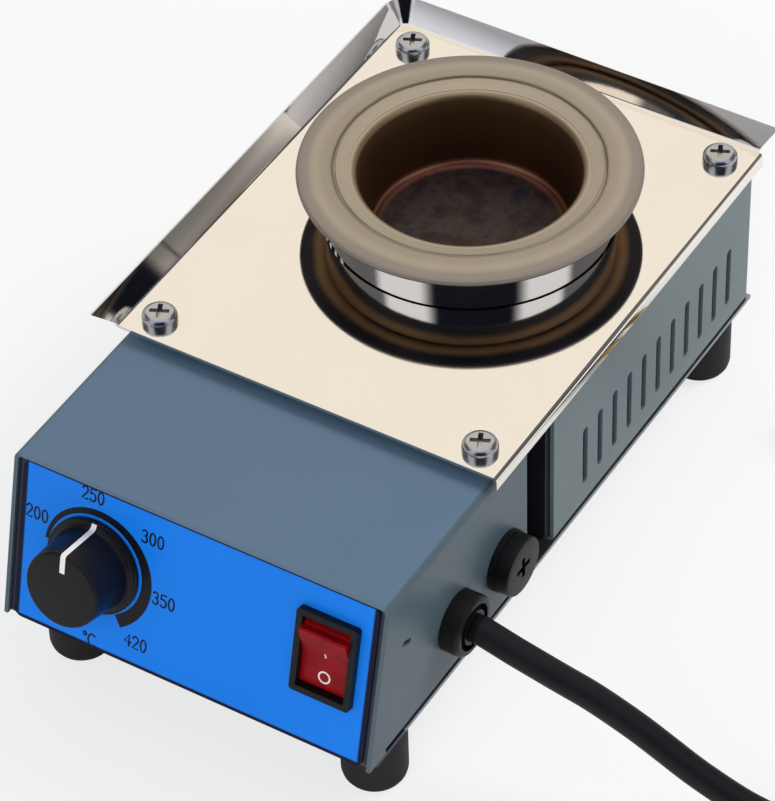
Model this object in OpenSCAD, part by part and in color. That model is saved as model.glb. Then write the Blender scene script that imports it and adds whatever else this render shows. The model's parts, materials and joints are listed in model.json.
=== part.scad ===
// Benchtop solder pot: a round crucible in a heated steel case, with a sloping control box in front.
// Millimetres. The case is drawn with y = 0 at its bottom front edge and z = 0 at its underside;
// on_floor() then moves it onto its feet, with the origin under the middle of its outline.

/* [Case] */
// Width of both housings
body_w = 95; // [88:1:110]
// Length of the base from front to rear
body_l = 174; // [168:1:200]
// Height of the housings above the underside of the base
box_h = 42.4; // [40:0.2:50]
// Thickness of the painted steel sheet
sheet_t = 1; // [0.8:0.1:1.2]
// Outside radius of the bends in the painted sheet
bend_r = 1.8; // [1.5:0.1:3]
// Lean of the front panel away from upright
panel_tilt = 14; // [8:1:18]
// Depth of the control box at its underside
control_l = 67.5; // [66:0.5:70]
// Air gap between the control box and the heater case
housing_gap = 11.9; // [8:0.1:14]
// Width of the folded flanges of both housings
flange_w = 12; // [10:0.5:12]

/* [Vents] */
// Distance of the first cooling slot behind the front of the heater case
slot_start = 14.2; // [12:0.1:16]
// Number of cooling slots in each side of the heater case
slot_count = 11; // [6:1:11]
// Spacing of the cooling slots
slot_pitch = 6.8; // [5:0.1:7]
// Width of a cooling slot
slot_w = 2.2; // [1.5:0.1:3]
// Height of a cooling slot
slot_h = 17; // [10:0.5:22]
// Height of the middle of the slots above the underside
slot_z = 16.4; // [15:0.2:20]

/* [Top plate] */
// Thickness of the polished top plate
plate_t = 0.8; // [0.6:0.1:1]
// Distance of the plate's front edge from the front of the base
plate_front = 52.2; // [50:0.2:54]
// Height of the spacers that hold the plate above the housings
spacer_h = 2.1; // [1.5:0.1:4]
// Height of the sloping splash walls
wall_rise = 5.5; // [4:0.5:10]
// Outward run of the splash walls
wall_run = 3.4; // [2:0.2:5]
// Forward flare of the free ends of the splash walls
wall_flare = 5; // [2:0.5:6]
// Depth of the turned-down lip on the right side
lip_drop = 3.4; // [2:0.2:4]
// Distance of the plate screws in from the sides
plate_screw_in = 6.3; // [5.5:0.1:7]
// Distance of the front plate screws from the front of the base
plate_screw_front = 58.4; // [57:0.2:61]
// Distance of the rear plate screws from the rear of the base
plate_screw_rear = 6.5; // [6:0.1:8]

/* [Crucible] */
// Distance of the crucible's axis from the front of the base
pot_y = 124.4; // [122:0.2:126]
// Radius of the crucible's mouth
mouth_r = 25.5; // [22:0.5:27]
// Radius of the crucible's flat floor, with its corner
floor_r = 22.8; // [18:0.2:23]
// Depth of the crucible from its rim to its floor
pot_depth = 19.6; // [16:0.2:24]
// Radius of the crucible's flange
flange_r = 39.4; // [37:0.2:42]
// Height of the crucible's rim above the top plate
rim_rise = 13.6; // [12:0.2:18]
// Wall thickness of the crucible
pot_wall = 2.5; // [2:0.1:3]
// Outside radius of the polished heater jacket
jacket_r = 33.6; // [33:0.1:35]
// Thickness of the heater jacket
jacket_t = 0.8; // [0.6:0.1:1]

/* [Front panel] */
// Thickness of the blue overlay
overlay_t = 0.4; // [0.2:0.1:0.6]
// Depth of the overlay's face behind the edge of the control box
panel_recess = 0.4; // [0.2:0.1:1]
// Distance of the knob's axis in from the left side
knob_in = 22.2; // [20:0.1:25]
// Height of the knob's axis along the sloping panel
knob_v = 23.2; // [21:0.1:25]
// Distance of the switch's middle in from the right side
switch_in = 13.6; // [12.5:0.1:15.5]
// Height of the switch's middle along the sloping panel
switch_v = 25.4; // [23:0.1:27]

/* [Knob] */
// Radius of the knob's face
knob_r = 9.2; // [8.5:0.1:9.4]
// Radius of the knob's skirt
skirt_r = 11.7; // [10.8:0.1:12]
// Height of the knob's face above the panel
knob_h = 13.1; // [12:0.1:16]
// Width of the white pointer line
pointer_w = 1.3; // [0.8:0.1:1.6]
// Radius of the potentiometer shaft
shaft_r = 3; // [2.5:0.1:3.2]

/* [Switch] */
// Width of the switch bezel
bezel_w = 15; // [14.5:0.1:15.5]
// Height of the switch bezel
bezel_h = 21; // [20.5:0.1:22]
// Thickness of the switch bezel
bezel_t = 1.9; // [1.5:0.1:2.2]
// Angle of the rocker either side of its middle
rocker_tilt = 12; // [8:1:12]

/* [Side fittings] */
// Distance of the cord bushing from the front of the base
bushing_y = 36.5; // [34:0.5:38]
// Height of the cord bushing above the underside
bushing_z = 15.6; // [14:0.1:18]
// Radius of the bushing's outer head
bushing_r = 7.3; // [6.5:0.1:8]
// Distance of the fuse holder from the front of the base
fuse_y = 57.3; // [56:0.1:57.5]
// Height of the fuse holder above the underside
fuse_z = 15.5; // [14:0.1:18]
// Radius of the fuse holder's cap
fuse_cap_r = 7.1; // [6.6:0.1:7.4]
// Diameter of the mains cord
cord_d = 6.6; // [6:0.1:7]

/* [Feet] */
// Height of the rubber feet
foot_h = 18; // [12:0.5:20]
// Radius of the rubber feet
foot_r = 7.5; // [7:0.1:8]
// Distance of the feet in from the sides
foot_in = 8.8; // [8:0.1:10.5]
// Distance of the front feet from the front of the base
foot_front = 16; // [14:0.5:20]
// Distance of the rear feet from the rear of the base
foot_rear = 8.5; // [8:0.5:14]

/* [Hidden] */
$fn = 64;
eps = 0.01;

// Running, sliding and assembly clearances
run_gap = 0.06;
fit_gap = 0.1;
slip_gap = 0.3;
hole_gap = 0.25;

// Metric fasteners: shank radius, pan-head radius and height, nut across flats and height
m4 = [1.95, 4.1, 2.7, 7, 3.2];
m3 = [1.45, 2.8, 2.1, 5.5, 2.4];

// Housings
half_w = body_w / 2;
foot_x = half_w - foot_in;
shell_z = sheet_t;
flange_top = shell_z + sheet_t;
roof_z = box_h - sheet_t;
inner_x = body_w / 2 - sheet_t;
case_y = control_l + housing_gap;
front_notch = 7;
rear_wall_y = control_l - 1.5;

// Hole for the heater's wires, through the control box's rear wall and the baffle
wire_x = -12;
wire_z = 24;
wire_r = 5;

// Sloping panel, measured along its own axes from the bottom front edge
overlay_face = -panel_recess;
panel_face = overlay_face - overlay_t;
panel_back = panel_face - sheet_t;
panel_top_v = roof_z / cos(panel_tilt) - fit_gap;
overlay_border = 1.3;

// Top plate
plate_screw_x = half_w - plate_screw_in;
plate_under = box_h + spacer_h;
plate_top = plate_under + plate_t;
plate_over = 0.3;
plate_left = -body_w / 2 - plate_over;
plate_rear = body_l + plate_over;
lip_out = 1.4;
lip_bend = 1.3;
lip_x = body_w / 2 + lip_out;
corner_r = 1.5;
wall_bend = 0.8;
wall_angle = atan(wall_rise / wall_run);
wall_end_flare = 3;
plate_hole_r = jacket_r + 0.4;

// Crucible and heater, from the top down
rim_z = plate_top + rim_rise;
floor_z = rim_z - pot_depth;
pot_under = floor_z - pot_wall;
flange_t = 1.9;
flange_under = rim_z - flange_t;
rim_band = 3.4;
step_r = mouth_r + 5.3;
block_z = pot_under - slip_gap - 4;
disc_t = 4;
tray_z = block_z - disc_t - sheet_t;
tray_top = tray_z + sheet_t;
band_r = jacket_r - jacket_t - 0.6;
block_r = band_r - 1.6 - fit_gap;
bore_gap_r = pot_wall + slip_gap;
tray_screw_r = jacket_r + 4.6;
probe_r = 1.5;

// Knob and potentiometer
knob_x = half_w - knob_in;
knob_top = overlay_face + knob_h;
knob_under = overlay_face + 0.5;
skirt_t = 0.9;
pot_body_r = 8;
pot_body_l = 9;
neck_r = 3.5;
nut_top = overlay_face + 2;

// Switch
switch_x = half_w - switch_in;
switch_body_w = bezel_w - 1.8;
switch_body_h = bezel_h - 1.8;
rocker_w = 11.8;
rocker_l = 15.8;
pivot_z = overlay_face - 3;
switch_back = overlay_face - 13.5;

// Fuse holder and bushing, outwards from the right side
fuse_rim = 1.5;
fuse_face = 5;
fuse_body_r = fuse_cap_r - 1.1;
fuse_stem_r = 4.4;
bushing_face = 4.8;

// Boards
board_x = -12;
board_y = 38;
board_w = 48;
board_d = 44;
board_z = shell_z + 7;
board_t = 1.6;
board_top = board_z + board_t;

// Outline of the whole appliance, for the origin
knob_reach = knob_top * cos(panel_tilt) - (knob_v - knob_r) * sin(panel_tilt);
rear_reach = plate_rear + wall_run + plate_t * sin(wall_angle);
origin_y = (rear_reach - knob_reach) / 2;

// Cord: from the bushing down to the floor, a tied coil, and a short tail to the plug
floor_level = -foot_h;
cord_r = cord_d / 2;
lead_route = [
    [52.3, 36.5, 15.6], [53.5, 36.5, 15.6], [57, 36.5, 14.8], [62, 36.6, 13.4], [68, 36.9, 11.7],
    [74, 37.4, 9.8], [80, 38, 7.8], [86, 38.5, 5.3], [92, 39, 2.4], [98, 39.5, -1], [104, 40.1, -4.6],
    [110, 41, -8], [116, 42, -11], [123, 43.4, -13.5], [131, 45, -14.7], [144, 46.6, -14.7],
    [158, 47.3, -14.7]
];
tail_route = [
    [208, 124, -8.1], [203.4, 132.5, -8.1], [197.3, 140.4, -8.4], [190, 147.2, -9.2],
    [181.6, 152.8, -9.9], [172.4, 156.9, -10.1], [162.8, 159.5, -9.8],
    [154.5, 160.6, -9.5], [153, 160.6, -9.5]
];
coil_centre = [172, 97];
coil_out = 49.6;
coil_in = 28.2;
coil_upper = 41.4;
cord_sides = 12;
relief_l = 25;
plug_l = 36;
plug_w = 25;
plug_h = 17;

// ---------- Placing ----------

// Stands the case on its feet, with the origin under the middle of its outline
module on_floor() {
    translate([0, -origin_y, foot_h]) children();
}

// Panel axes: x to the right, y up along the slope, z out of the panel
module on_panel(x = 0, v = 0) {
    rotate([90 - panel_tilt, 0, 0]) translate([x, v, 0]) children();
}

// Axes for what goes through the right side: z points out of the side
module on_side(y, z) {
    translate([body_w / 2, y, z]) rotate([0, 90, 0]) children();
}

module on_pot(z = 0) {
    translate([0, pot_y, z]) children();
}

module both_sides() {
    children();
    mirror([1, 0, 0]) children();
}

module at_plate_screws(z) {
    for (x = [-1, 1], y = [plate_screw_front, body_l - plate_screw_rear]) {
        translate([x * plate_screw_x, y, z]) children();
    }
}

module at_feet(z) {
    for (x = [-1, 1], y = [foot_front, body_l - foot_rear]) {
        translate([x * foot_x, y, z]) children();
    }
}

module at_case_screws(z) {
    for (x = [-1, 1], y = [control_l - 9, case_y + 11]) {
        translate([x * foot_x, y, z]) children();
    }
}

module at_board_corners(z) {
    for (x = [-1, 1], y = [-1, 1]) {
        translate([board_x + x * (board_w / 2 - 4), board_y + y * (board_d / 2 - 4), z]) children();
    }
}

module at_tray_screws(z) {
    for (a = [35, 145, 270]) {
        on_pot(z) rotate([0, 0, a]) translate([tray_screw_r, 0, 0]) children();
    }
}

// ---------- Shared shapes ----------

function arc(cx, cy, r, from, to, steps = 8) = [
    for (i = [0:steps]) let (a = from + (to - from) * i / steps) [cx + r * cos(a), cy + r * sin(a)]
];

module rounded_rect(w, h, r) {
    polygon(concat(
        arc(w / 2 - r, h / 2 - r, r, 0, 90), arc(r - w / 2, h / 2 - r, r, 90, 180),
        arc(r - w / 2, r - h / 2, r, 180, 270), arc(w / 2 - r, r - h / 2, r, 270, 360)
    ));
}

// Extrudes an outline drawn in x and z along the case, from y0 to y1
module along_case(y0, y1) {
    translate([0, y1, 0]) rotate([90, 0, 0]) linear_extrude(y1 - y0) children();
}

// Extrudes an outline drawn in y and z across the case, from x0 to x1
module across_case(x0, x1) {
    translate([x0, 0, 0]) rotate([90, 0, 90]) linear_extrude(x1 - x0) children();
}

module tube(r_out, r_in, h) {
    difference() {
        cylinder(r = r_out, h = h);
        translate([0, 0, -eps]) cylinder(r = r_in, h = h + 2 * eps);
    }
}

module hex_nut(across, h, bore_r) {
    difference() {
        cylinder(r = across / 2 / cos(30), h = h, $fn = 6);
        translate([0, 0, -eps]) cylinder(r = bore_r, h = h + 2 * eps);
    }
}

// Cross recess for a driver, cut downwards from z = 0
module cross_recess(size, depth) {
    for (a = [0, 90]) {
        rotate([0, 0, a]) translate([-size / 2, -size / 8, -depth]) cube([size, size / 4, depth + eps]);
    }
}

// Pan-head screw, its head standing on z = 0 and its shank going down
module pan_screw(metric, shank_l) {
    head_r = metric[1];
    head_h = metric[2];
    edge = head_h * 0.6;
    difference() {
        union() {
            rotate_extrude() polygon(concat(
                [[0, 0], [head_r, 0]], arc(head_r - edge, head_h - edge, edge, 0, 90, 5), [[0, head_h]]
            ));
            translate([0, 0, -shank_l]) cylinder(r = metric[0], h = shank_l + eps);
        }
        translate([0, 0, head_h]) cross_recess(head_r * 1.1, head_h * 0.5);
    }
}

// A housing's outline seen along the case, from the pan to the roof
module housing_outline(inset) {
    translate([0, (shell_z + box_h) / 2]) {
        rounded_rect(body_w - 2 * inset, box_h - shell_z - 2 * inset, bend_r - inset);
    }
}

// ---------- Case ----------

// Base plate and front panel, folded from one sheet; the panel leans back from the front edge
module base_pan() {
    set_back = -panel_face;
    fold_y = (set_back + bend_r * (1 + sin(panel_tilt))) / cos(panel_tilt);
    lean = [sin(panel_tilt), cos(panel_tilt)];
    out = [-cos(panel_tilt), sin(panel_tilt)];
    top = lean * panel_top_v - out * set_back;
    color("lightsteelblue") on_floor() difference() {
        union() {
            across_case(-inner_x + fit_gap, inner_x - fit_gap) polygon(concat(
                [[front_notch, 0]],
                arc(fold_y, bend_r, bend_r, 270, 180 - panel_tilt, 5),
                [top, top - out * sheet_t],
                arc(fold_y, bend_r, bend_r - sheet_t, 180 - panel_tilt, 270, 5),
                [[front_notch, sheet_t]]
            ));
            translate([-body_w / 2, fold_y, 0]) cube([body_w, body_l - fold_y, sheet_t]);
        }
        at_feet(-eps) cylinder(r = m4[0] + hole_gap, h = sheet_t + 2 * eps);
        at_case_screws(-eps) cylinder(r = m3[0], h = sheet_t + 2 * eps);
        at_tray_screws(-eps) cylinder(r = m3[0] + hole_gap, h = sheet_t + 2 * eps);
        at_board_corners(-eps) cylinder(r = m3[0] + hole_gap, h = sheet_t + 2 * eps);
        panel_holes();
    }
}

// Holes of the potentiometer and the switch, through the panel and the overlay
module panel_holes() {
    depth = overlay_face - panel_back + 2;
    on_panel(-knob_x, knob_v) translate([0, 0, panel_back - 1]) cylinder(r = neck_r + fit_gap, h = depth);
    on_panel(switch_x, switch_v) translate([0, 0, panel_back - 1]) linear_extrude(depth) {
        square([switch_body_w + 2 * fit_gap, switch_body_h + 2 * fit_gap], center = true);
    }
}

// Printed film that covers the front panel
module panel_overlay() {
    w = 2 * (inner_x - overlay_border);
    h = panel_top_v - overlay_border - fit_gap;
    color([0.11, 0.48, 0.9]) on_floor() difference() {
        on_panel(0, overlay_border + h / 2) translate([0, 0, panel_face]) {
            linear_extrude(overlay_t) rounded_rect(w, h, 2);
        }
        panel_holes();
    }
}

// Control box: a C-section with turned-in bottom flanges, its front edge cut to the panel's lean
module control_cover() {
    color([0.42, 0.52, 0.58]) on_floor() difference() {
        union() {
            along_case(-eps, control_l) housing_outline(0);
            both_sides() translate([inner_x, 0, shell_z]) cube([sheet_t, front_notch, bend_r]);
        }
        along_case(-1, control_l + 1) housing_outline(sheet_t);
        translate([-body_w / 2 + flange_w, -1, 0]) {
            cube([body_w - 2 * flange_w, control_l + 2, flange_top + eps]);
        }
        translate([-inner_x, -1, 0]) cube([2 * inner_x, front_notch + 1, flange_top + bend_r]);
        on_panel() translate([-body_w, -box_h, 0]) cube([2 * body_w, 3 * box_h, box_h]);
        at_plate_screws(roof_z - eps) cylinder(r = m4[0] + hole_gap, h = sheet_t + 2 * eps);
        at_feet(shell_z - eps) cylinder(r = m4[0] + hole_gap, h = sheet_t + 2 * eps);
        at_case_screws(shell_z - eps) cylinder(r = m3[0], h = sheet_t + 2 * eps);
        on_side(bushing_y, bushing_z) translate([0, 0, -3]) cylinder(r = bushing_r - 1.5, h = 4);
        on_side(fuse_y, fuse_z) translate([0, 0, -3]) cylinder(r = fuse_cap_r - 1, h = 4);
        side_slot();
    }
}

// Small slanted slot through the right side, behind the panel
module side_slot() {
    on_side(16.7, 26.8) rotate([0, 0, -25]) translate([0, 0, -3]) linear_extrude(4) {
        rounded_rect(1.4, 3.6, 0.69);
    }
}

// Wall that closes the rear of the control box, on a foot folded forwards
module control_rear_wall() {
    foot_l = 6.5;
    half = body_w / 2 - flange_w - slip_gap;
    color([0.4, 0.5, 0.56]) on_floor() difference() {
        union() {
            translate([-inner_x + fit_gap, rear_wall_y, flange_top + fit_gap]) {
                cube([2 * (inner_x - fit_gap), sheet_t, roof_z - flange_top - 2 * fit_gap]);
            }
            translate([-half, rear_wall_y, shell_z]) cube([2 * half, sheet_t, sheet_t + 1]);
            translate([-half, rear_wall_y - foot_l, shell_z]) cube([2 * half, foot_l + sheet_t, sheet_t]);
        }
        translate([wire_x, rear_wall_y - eps, wire_z]) rotate([-90, 0, 0]) {
            cylinder(r = wire_r, h = sheet_t + 2 * eps);
        }
        for (s = [-1, 1]) {
            translate([s * (inner_x - bend_r), rear_wall_y - eps, roof_z - bend_r]) {
                rotate([0, s * 45, 0]) translate([-5, 0, 1]) cube([10, sheet_t + 2 * eps, 5]);
            }
        }
    }
}

// Rubber grommet for the heater and sensor wires
module wire_grommet() {
    lip_r = wire_r + 1.4;
    bore_r = wire_r - 1.6;
    color("dimgray") on_floor() translate([wire_x, rear_wall_y + sheet_t / 2, wire_z]) rotate([90, 0, 0]) {
        rotate_extrude() polygon([
            [bore_r, -2], [lip_r, -2], [lip_r, -sheet_t / 2], [wire_r, -sheet_t / 2],
            [wire_r, sheet_t / 2], [lip_r, sheet_t / 2], [lip_r, 2], [bore_r, 2]
        ]);
    }
}

// Solid form of the heater case, drawn in by an inset on every side
module heater_case_form(inset) {
    corner = 3 - inset;
    w = body_w / 2 - inset;
    rear = body_l - inset;
    intersection() {
        translate([0, 0, shell_z]) linear_extrude(box_h) polygon(concat(
            [[-w, case_y - inset], [w, case_y - inset]],
            arc(w - corner, rear - corner, corner, 0, 90), arc(corner - w, rear - corner, corner, 90, 180)
        ));
        along_case(case_y - inset - eps, body_l) housing_outline(inset);
        across_case(-body_w, body_w) translate([case_y - inset - 10, shell_z + inset]) {
            polygon(concat(
                [[0, 0]],
                arc(rear - case_y + inset + 10 - (bend_r - inset), bend_r - inset, bend_r - inset, 270, 360),
                arc(
                    rear - case_y + inset + 10 - (bend_r - inset), box_h - shell_z - inset - bend_r,
                    bend_r - inset, 0, 90
                ),
                [[0, box_h - shell_z - 2 * inset]]
            ));
        }
    }
}

// Heater case: sides and rear wrapped from one sheet, with flanges turned in above and below
module heater_case() {
    open_w = body_w - 2 * flange_w;
    color([0.44, 0.53, 0.58]) on_floor() difference() {
        heater_case_form(0);
        heater_case_form(sheet_t);
        translate([-open_w / 2, case_y - 1, 0]) {
            cube([open_w, body_l - flange_w - case_y + 1, box_h + 2]);
        }
        for (i = [0:slot_count - 1]) {
            translate([0, case_y + slot_start + i * slot_pitch, slot_z]) rotate([90, 0, 90]) {
                translate([0, 0, -body_w]) linear_extrude(2 * body_w) {
                    rounded_rect(slot_w, slot_h, slot_w / 2 - 0.01);
                }
            }
        }
        for (y = [case_y + 8.8, body_l - 18.5]) {
            translate([inner_x - 1, y, box_h - 2.4]) rotate([0, 90, 0]) cylinder(r = 0.7, h = 3);
        }
        at_plate_screws(roof_z - eps) cylinder(r = m4[0] + hole_gap, h = sheet_t + 2 * eps);
        at_feet(shell_z - eps) cylinder(r = m4[0] + hole_gap, h = sheet_t + 2 * eps);
        at_case_screws(shell_z - eps) cylinder(r = m3[0], h = sheet_t + 2 * eps);
    }
}

// Dark baffle across the open front of the heater case, a channel with its sides folded back
module heater_baffle() {
    baffle_y = case_y - 2;
    side_l = 9;
    half = inner_x - fit_gap;
    z0 = flange_top + fit_gap;
    z1 = roof_z - fit_gap;
    chamfer = bend_r;
    color([0.16, 0.17, 0.19]) on_floor() difference() {
        along_case(baffle_y, baffle_y + side_l) polygon([
            [-half, z0 + chamfer], [-half + chamfer, z0], [half - chamfer, z0], [half, z0 + chamfer],
            [half, z1 - chamfer], [half - chamfer, z1], [-half + chamfer, z1], [-half, z1 - chamfer]
        ]);
        translate([-half + sheet_t, baffle_y + sheet_t, 0]) cube([2 * (half - sheet_t), side_l, box_h]);
        translate([wire_x, baffle_y - eps, wire_z]) rotate([-90, 0, 0]) {
            cylinder(r = wire_r, h = sheet_t + 2 * eps);
        }
    }
}

// ---------- Top plate ----------

// Section of a splash wall with its fold, starting on the corner's axis
function wall_section() = let (
    slope = [cos(wall_angle), sin(wall_angle)],
    straight = (wall_rise - wall_bend * (1 - cos(wall_angle))) / sin(wall_angle),
    under = arc(corner_r, plate_top + wall_bend, wall_bend + plate_t, -90, wall_angle - 90, 5),
    upper = arc(corner_r, plate_top + wall_bend, wall_bend, wall_angle - 90, -90, 5)
) concat(
    [[0, plate_under]], under, [under[5] + slope * straight, upper[0] + slope * straight], upper,
    [[0, plate_top]]
);

module top_plate() {
    axis_x = plate_left + corner_r;
    axis_y = plate_rear - corner_r;
    right = lip_x - lip_bend;
    top = plate_top + wall_rise;
    color([0.82, 0.82, 0.8]) on_floor() difference() {
        union() {
            translate([axis_x - 0.5, plate_front, plate_under]) {
                cube([right - axis_x + 1, axis_y - plate_front + 0.5, plate_t]);
            }
            // Left splash wall, its free end flared forwards
            intersection() {
                along_case(plate_front - 2 * wall_flare, axis_y) {
                    translate([axis_x, 0]) mirror([1, 0]) polygon(wall_section());
                }
                across_case(-body_w, axis_x + eps) polygon([
                    [plate_front, 0], [plate_front, plate_top + 0.4], [plate_front - wall_flare, top],
                    [plate_front - wall_flare, top + 5], [axis_y, top + 5], [axis_y, 0]
                ]);
            }
            // Rear splash wall, its free end flared to the right
            intersection() {
                across_case(axis_x, right + 2 * wall_end_flare) {
                    translate([axis_y, 0]) polygon(wall_section());
                }
                along_case(axis_y - eps, plate_rear + 20) polygon([
                    [axis_x, 0], [right, 0], [right, plate_top + 0.4], [right + wall_end_flare, top],
                    [right + wall_end_flare, top + 5], [axis_x, top + 5]
                ]);
            }
            translate([axis_x, axis_y, 0]) rotate([0, 0, 90]) {
                rotate_extrude(angle = 90) polygon(wall_section());
            }
            // Lip turned down over the right side
            along_case(plate_front, plate_rear) polygon(concat(
                [[lip_x - plate_t, plate_top - lip_drop], [lip_x, plate_top - lip_drop]],
                arc(right, plate_top - lip_bend, lip_bend, 0, 90, 5),
                [[right - 1, plate_top], [right - 1, plate_under]],
                arc(right, plate_top - lip_bend, lip_bend - plate_t, 90, 0, 5)
            ));
        }
        on_pot(plate_under - 1) cylinder(r = plate_hole_r, h = plate_t + 2, $fn = 96);
        at_plate_screws(plate_under - 1) cylinder(r = m4[0] + hole_gap, h = plate_t + 2);
    }
}

module plate_spacers() {
    color("gray") on_floor() at_plate_screws(box_h) tube(3.8, m4[0] + hole_gap, spacer_h);
}

module plate_screws() {
    color("gainsboro") on_floor() at_plate_screws(plate_top) rotate([0, 0, 25]) pan_screw(m4, 9);
}

module plate_nuts() {
    color("silver") on_floor() at_plate_screws(roof_z - m4[4]) hex_nut(m4[3], m4[4], m4[0]);
}

// ---------- Crucible and heater ----------

module crucible() {
    foot_r2 = floor_r + pot_wall;
    neck = mouth_r + pot_wall;
    edge = 0.8;
    color([0.56, 0.53, 0.47]) on_floor() on_pot() rotate_extrude($fn = 96) polygon(concat(
        [[0, pot_under]],
        arc(foot_r2 - 3.5, pot_under + 3.5, 3.5, -90, 0, 5),
        arc(neck + 1.5, flange_under - 1.5, 1.5, 180, 90, 4),
        arc(flange_r - edge, flange_under + edge, edge, -90, 90, 8),
        [[flange_r - rim_band, rim_z], [step_r + 0.4, rim_z], [step_r + 0.15, rim_z - 0.4]],
        [[step_r - 0.25, rim_z - 0.4], [step_r - 0.45, rim_z - 0.15]],
        [[step_r - 1.8, rim_z - 0.5], [mouth_r + 2, rim_z - 1.05]],
        arc(mouth_r + 1.6, rim_z - 2.7, 1.6, 75, 180, 5),
        arc(floor_r - 2, floor_z + 2, 2, 0, -90, 5),
        [[0, floor_z]]
    ));
}

// Polished sleeve round the heater; the crucible's flange rests on its turned-in lip
module heater_jacket() {
    bend = 1.2;
    top = flange_under;
    color("gainsboro") on_floor() on_pot() rotate_extrude($fn = 96) polygon(concat(
        [[jacket_r - jacket_t, tray_top], [jacket_r, tray_top]],
        arc(jacket_r - bend, top - bend, bend, 0, 90, 5),
        [[jacket_r - 2 * bend, top], [jacket_r - 2 * bend, top - jacket_t]],
        arc(jacket_r - bend, top - bend, bend - jacket_t, 90, 0, 5)
    ));
}

// Cast cup that carries the heat from the band to the crucible
module heating_block() {
    color("darkgray") on_floor() on_pot() difference() {
        rotate_extrude() polygon([
            [0, block_z], [block_r, block_z], [block_r, flange_under - 2],
            [mouth_r + bore_gap_r, flange_under - 2], [floor_r + bore_gap_r, pot_under + 3.5],
            [floor_r + bore_gap_r, pot_under - slip_gap], [0, pot_under - slip_gap]
        ]);
        translate([0, 0, block_z - 1]) cylinder(r = probe_r + slip_gap, h = 10);
    }
}

// Mica band heater, split at the rear, with two terminal studs
module band_heater() {
    low = block_z + 1.5;
    color("darkkhaki") on_floor() on_pot() union() {
        rotate([0, 0, 96]) rotate_extrude(angle = 348) polygon([
            [block_r + fit_gap, low], [band_r, low], [band_r, flange_under - 3],
            [block_r + fit_gap, flange_under - 3]
        ]);
        for (a = [80, 100]) {
            rotate([0, 0, a]) translate([(block_r + band_r) / 2, 0, tray_z - 6]) {
                cylinder(r = 0.6, h = low - tray_z + 7);
            }
        }
    }
}

module insulation_disc() {
    color("beige") on_floor() on_pot(tray_top) difference() {
        cylinder(r = block_r + 1, h = disc_t);
        translate([0, 0, -1]) cylinder(r = probe_r + slip_gap, h = disc_t + 2);
        wire_passages(disc_t);
    }
}

module wire_passages(h) {
    for (a = [80, 100]) {
        rotate([0, 0, a]) translate([(block_r + band_r) / 2, 0, -1]) cylinder(r = 1.2, h = h + 2);
    }
}

// Tray that carries the heater, with three ears for its screws
module heater_tray() {
    color("silver") on_floor() difference() {
        union() {
            on_pot(tray_z) cylinder(r = jacket_r + 0.8, h = sheet_t);
            at_tray_screws(tray_z) cylinder(r = 4.5, h = sheet_t);
            at_tray_screws(tray_z) translate([-tray_screw_r / 2, -4.5, 0]) {
                cube([tray_screw_r / 2, 9, sheet_t]);
            }
        }
        on_pot(tray_z - 1) cylinder(r = 2.5 + fit_gap, h = sheet_t + 2);
        on_pot(tray_z) wire_passages(sheet_t);
        at_tray_screws(tray_z - 1) cylinder(r = m3[0] + hole_gap, h = sheet_t + 2);
    }
}

module tray_standoffs() {
    color("silver") on_floor() at_tray_screws(shell_z) hex_nut(6, tray_z - shell_z, m3[0]);
}

// Screws into both ends of the standoffs
module tray_screws() {
    color("gainsboro") on_floor() {
        at_tray_screws(tray_top) pan_screw(m3, 7);
        at_tray_screws(0) mirror([0, 0, 1]) pan_screw(m3, 7);
    }
}

// Temperature probe pressed up against the crucible, held by a hex fitting in the tray
module temperature_sensor() {
    color("tan") on_floor() on_pot() union() {
        translate([0, 0, tray_z - 14]) cylinder(r = probe_r, h = pot_under - tray_z + 14 - fit_gap);
        translate([0, 0, tray_z - 4]) cylinder(r = 4.4, h = 4, $fn = 6);
        translate([0, 0, tray_z - eps]) cylinder(r = 2.5, h = sheet_t + eps);
    }
}

// ---------- Knob ----------

// Outside of the knob: a thin skirt, a fillet and a slightly tapered barrel
module knob_form() {
    base = knob_under + skirt_t;
    fillet = skirt_r - knob_r - 1.1;
    rotate_extrude($fn = 96) polygon(concat(
        [[0, knob_under], [skirt_r, knob_under], [skirt_r, base - 0.2], [skirt_r - 0.2, base]],
        arc(skirt_r - 0.5, base + fillet, fillet, 270, 185, 6),
        arc(knob_r - 0.7, knob_top - 0.7, 0.7, 5, 90, 4),
        [[0, knob_top]]
    ));
}

// Groove of the pointer: across the face from its edge inwards, and down the side to the skirt
module pointer_groove() {
    w = pointer_w / 2;
    translate([-w, knob_r - 4.7, knob_top - 0.5]) cube([2 * w, 10, 2]);
    translate([-w, knob_r - 0.5, knob_under + skirt_t]) cube([2 * w, 10, knob_h]);
}

module shaft_form(r, from, to) {
    flat = r * 0.35;
    translate([0, 0, from]) linear_extrude(to - from) difference() {
        circle(r);
        translate([-r, flat + r * 0.25]) square([2 * r, r]);
    }
}

module knob() {
    color([0.06, 0.06, 0.07]) on_floor() on_panel(-knob_x, knob_v) difference() {
        knob_form();
        pointer_groove();
        difference() {
            translate([0, 0, knob_under - 1]) cylinder(r = knob_r - 1.8, h = knob_h - 2.2);
            translate([0, 0, nut_top + 0.8]) cylinder(r = shaft_r + 2, h = knob_h);
        }
        shaft_form(shaft_r + 0.02, nut_top, knob_top - 3);
    }
}

module knob_pointer() {
    color("white") on_floor() on_panel(-knob_x, knob_v) intersection() {
        knob_form();
        pointer_groove();
    }
}

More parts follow.
